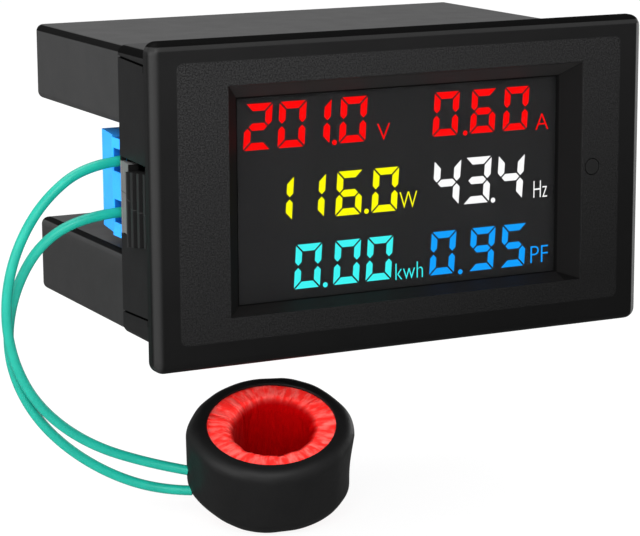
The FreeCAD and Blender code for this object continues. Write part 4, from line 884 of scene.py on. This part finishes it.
def make_wrap(finish):
    """Tape wound through the bore: a rounded ring whose surface has the edges of the turns and radial
    creases that fade along the profile. It carries the place on the tape, and the painted shade down the
    bore by how far down a point lies, for its finish."""
    out = RING_RADIUS - SLEEVE_WALL - WRAP_CLEARANCE
    half = RING_HALF - SLEEVE_WALL - WRAP_END_CLEARANCE
    outline = rounded_run(((BORE, half), (out, half), (out, -half), (BORE, -half)), WRAP_ROUNDS, 30)
    profile = spread(outline, WRAP_POINTS)
    draw = np.random.default_rng(23)
    creases = [(draw.uniform(0, 2 * math.pi), draw.uniform(0.03, 0.1), draw.uniform(0.02, 0.1),
                draw.uniform(-half, half), draw.uniform(-0.06, 0.06)) for _ in range(CREASES)]

    def lift(angle):
        level = profile[None, :, 1]
        rise = TAPE_STEP * ((angle * TAPE_TURNS / (2 * math.pi) + level * TAPE_SKEW) % 1.0)
        for depth, count, skew in TAPE_WAVES:
            rise = rise + depth * np.sin(angle * count + level * skew)
        for place, width, depth, middle, skew in creases:
            away = (angle - place - level * skew + math.pi) % (2 * math.pi) - math.pi
            reach = np.exp(-((level - middle) / CREASE_REACH) ** 2)
            rise = rise - depth * np.exp(-(away / width) ** 2) * reach
        return rise - TAPE_BASE

    piece = turned_surface("tape_wrap", profile, lift, WRAP_AROUND, finish)
    angle = np.arange(WRAP_AROUND)[:, None] / WRAP_AROUND * 2 * math.pi
    along = np.arange(WRAP_POINTS)[None, :] * STREAK_STEP
    place = np.stack(np.broadcast_arrays(np.cos(angle) * STREAK_RADIUS, np.sin(angle) * STREAK_RADIUS,
                                         along), -1) * MM
    # painted shade: how far down the bore a point lies, which darkens the tape there
    start = BORE + DARK_START - DARK_LATER * np.clip(np.cos(angle - DARK_LATER_AT), 0, 1)
    painted_recess_shade = np.clip(start - profile[None, :, 0], 0, 1)
    for label, kind, field, values in (("tape_place", "FLOAT_VECTOR", "vector", place),
                                       ("painted_bore_shade", "FLOAT", "value", painted_recess_shade)):
        layer = piece.data.attributes.new(label, kind, "POINT")
        layer.data.foreach_set(field, values.ravel())
    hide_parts("ct_tape_wrap")
    return piece


# Floor, light and air
FLOOR_DROP = 0.2
FLOOR_REACH = 5000.0
FLOOR_GLOW = 0.88
FLOOR_GLOSS = 0.2
AIR_LIGHT = 1.0
AIR_GLOSS = 0.37


def ray_shares(finish):
    """Two values: 1 for what is seen straight on or through glass, and 1 for what a gloss mirrors."""
    path = finish.tree.nodes.new("ShaderNodeLightPath")
    camera, through, gloss = (Value(finish, path.outputs[name]) for name in (
        "Is Camera Ray", "Is Transmission Ray", "Is Glossy Ray"))
    seen = finish.clamp(camera + through)
    return seen, finish.clamp(gloss * (1 - seen))


def make_floor():
    """Plain pale floor that reads as white and keeps a soft shadow."""
    z = CAD_BOX[0][2] / MM - FLOOR_DROP
    finish = Finish("floor", Specular_IOR_Level=0.1, Roughness=0.9)
    finish.set("Base Color", finish.mix(finish.noise(40.0), (0.86, 0.86, 0.86), (0.9, 0.9, 0.9)))
    seen, mirrored = ray_shares(finish)
    glow = finish.node("ShaderNodeEmission", {},
                       {"Color": (1.0, 1.0, 1.0), "Strength": seen + mirrored * FLOOR_GLOSS})
    mixed = finish.node("ShaderNodeMixShader", {},
                        {0: seen * FLOOR_GLOW + mirrored, 1: Value(finish, finish.surface.outputs[0]),
                         2: glow})
    finish.ends(mixed.socket)
    mesh = bpy.data.meshes.new("floor")
    corners = np.array(((-1, -1, 0), (1, -1, 0), (1, 1, 0), (-1, 1, 0))) * FLOOR_REACH + (0, 0, z)
    mesh.from_pydata((corners * MM).tolist(), [], [(0, 1, 2, 3)])
    mesh.materials.append(finish.material)
    floor = bpy.data.objects.new("floor", mesh)
    bpy.context.scene.collection.objects.link(floor)


def make_air():
    """White all round for the camera and for glass, and an even soft light for everything else."""
    world = bpy.data.worlds.new("air")
    bpy.context.scene.world = world
    world.use_nodes = True
    tree = world.node_tree
    tree.nodes.clear()
    path = tree.nodes.new("ShaderNodeLightPath")
    seen = tree.nodes.new("ShaderNodeMath")
    seen.operation = "MAXIMUM"
    tree.links.new(path.outputs["Is Camera Ray"], seen.inputs[0])
    tree.links.new(path.outputs["Is Transmission Ray"], seen.inputs[1])
    gloss = tree.nodes.new("ShaderNodeMapRange")
    tree.links.new(path.outputs["Is Glossy Ray"], gloss.inputs[0])
    gloss.inputs[3].default_value = AIR_LIGHT
    gloss.inputs[4].default_value = AIR_GLOSS
    strength = tree.nodes.new("ShaderNodeMapRange")
    tree.links.new(seen.outputs[0], strength.inputs[0])
    tree.links.new(gloss.outputs[0], strength.inputs[3])
    strength.inputs[4].default_value = 1.0
    air = tree.nodes.new("ShaderNodeBackground")
    air.inputs[0].default_value = (1, 1, 1, 1)
    tree.links.new(strength.outputs[0], air.inputs[1])
    end = tree.nodes.new("ShaderNodeOutputWorld")
    tree.links.new(air.outputs[0], end.inputs[0])


def add_lamp(name, place, aim, side, power, mirrored=True):
    """Square soft lamp at a place, looking at a point, both in mm. A lamp that isn't mirrored lights the
    colours but leaves no glare on black tops."""
    lamp = bpy.data.lights.new(name, "AREA")
    lamp.size = side * MM
    lamp.energy = power
    holder = bpy.data.objects.new(name, lamp)
    bpy.context.scene.collection.objects.link(holder)
    place, aim = Vector(place) * MM, Vector(aim) * MM
    holder.location = place
    holder.rotation_euler = (aim - place).to_track_quat("-Z", "Y").to_euler()
    holder.visible_glossy = mirrored


def make_light():
    """The floor, the air and the five lamps."""
    bpy.context.scene.view_settings.view_transform = "Standard"
    make_floor()
    make_air()
    add_lamp("top_lamp", (-150, 250, 900), (0, 10, 0), 700, 8.0)
    add_lamp("front_lamp", (-400, -850, 215), (0, 10, -40), 700, 9.6, False)
    add_lamp("near_lamp", (-150, -270, 190), (0, 0, 0), 140, 0.65)
    add_lamp("left_lamp", (-700, -190, 50), (-30, 10, 0), 600, 4.4)
    add_lamp("right_lamp", (700, 330, 60), (30, 10, 0), 400, 1.6)


# The object
make_camera()
leads = {"upper": make_lead("upper", ENTRY_LEVEL), "lower": make_lead("lower", -ENTRY_LEVEL)}
make_light()

teal = insulation()
for lead in leads.values():
    lead.data.materials.append(teal)
by_slot = {
    "housing_black": case_housing(),
    "lens_smoke": smoked_pane(),
    "display_shell": moulding("shell_black", (0.012, 0.012, 0.012), (0.018, 0.018, 0.018), 0.7, gloss=0.2),
    "display_resin": moulding("smoked_casting", (0.012, 0.012, 0.012), (0.02, 0.02, 0.02), 0.5, gloss=0.2),
    "board_green": board("solder_mask"),
    "chip_black": moulding("chip_black", (0.02, 0.02, 0.021), (0.03, 0.03, 0.031), 0.55, 0.1, 0.01),
    "header_black": moulding("header_black", (0.014, 0.014, 0.014), (0.02, 0.02, 0.02), 0.45),
    "capacitor_box": moulding("capacitor_box", (0.4, 0.03, 0.02), (0.5, 0.05, 0.03), 0.3, 0.4, 0.02),
    "capacitor_can": brushed("can_aluminium", (0.7, 0.7, 0.72), 0.3, 0),
    "coil_tape": wound("coil_tape", (0.42, 0.28, 0.02), (0.72, 0.5, 0.05), 1.5),
    "varistor_coat": moulding("varistor_coat", (0.01, 0.06, 0.35), (0.02, 0.1, 0.5), 0.25, 0.8, 0.06),
    "fuse_body": moulding("fuse_body", (0.05, 0.2, 0.07), (0.08, 0.28, 0.1), 0.4, 0.3, 0.03),
    "resistor_black": moulding("resistor_black", (0.02, 0.02, 0.02), (0.035, 0.035, 0.035), 0.5, 0.1, 0.01),
    "button_black": moulding("button_black", (0.004, 0.004, 0.004), (0.007, 0.007, 0.007), 0.5, 0.12, 0.008,
                             0.2),
    "switch_black": moulding("switch_black", (0.02, 0.02, 0.02), (0.03, 0.03, 0.03), 0.5),
    "terminal_blue": terminal_blue(),
    "steel": brushed("zinc_plate", (0.62, 0.62, 0.62), 0.38, 1),
    "copper_tin": brushed("tinned_copper", (0.72, 0.66, 0.55), 0.3, 2),
    "bare_copper": brushed("bare_copper", (0.8, 0.36, 0.2), 0.3, 0),
    "insulation_teal": teal,
    "magnet_core": wound("strip_core", (0.1, 0.1, 0.11), (0.25, 0.25, 0.27), 0.3, 1.0),
    "magnet_wire": wound("magnet_wire", (0.25, 0.06, 0.02), (0.6, 0.2, 0.08), 0.5, 1.0),
    "tape_red": red_tape(),
    "sleeve_black": shrunk_sleeve(),
}
by_node = {
    "front_bezel": bezel_housing(),
    "left_latch": latch_housing(),
    "right_latch": latch_housing(),
}
dress_nodes(by_slot, by_node)
make_reading()
make_bars()
sleeve = make_sleeve(by_slot["sleeve_black"])
wrap = make_wrap(by_slot["tape_red"])
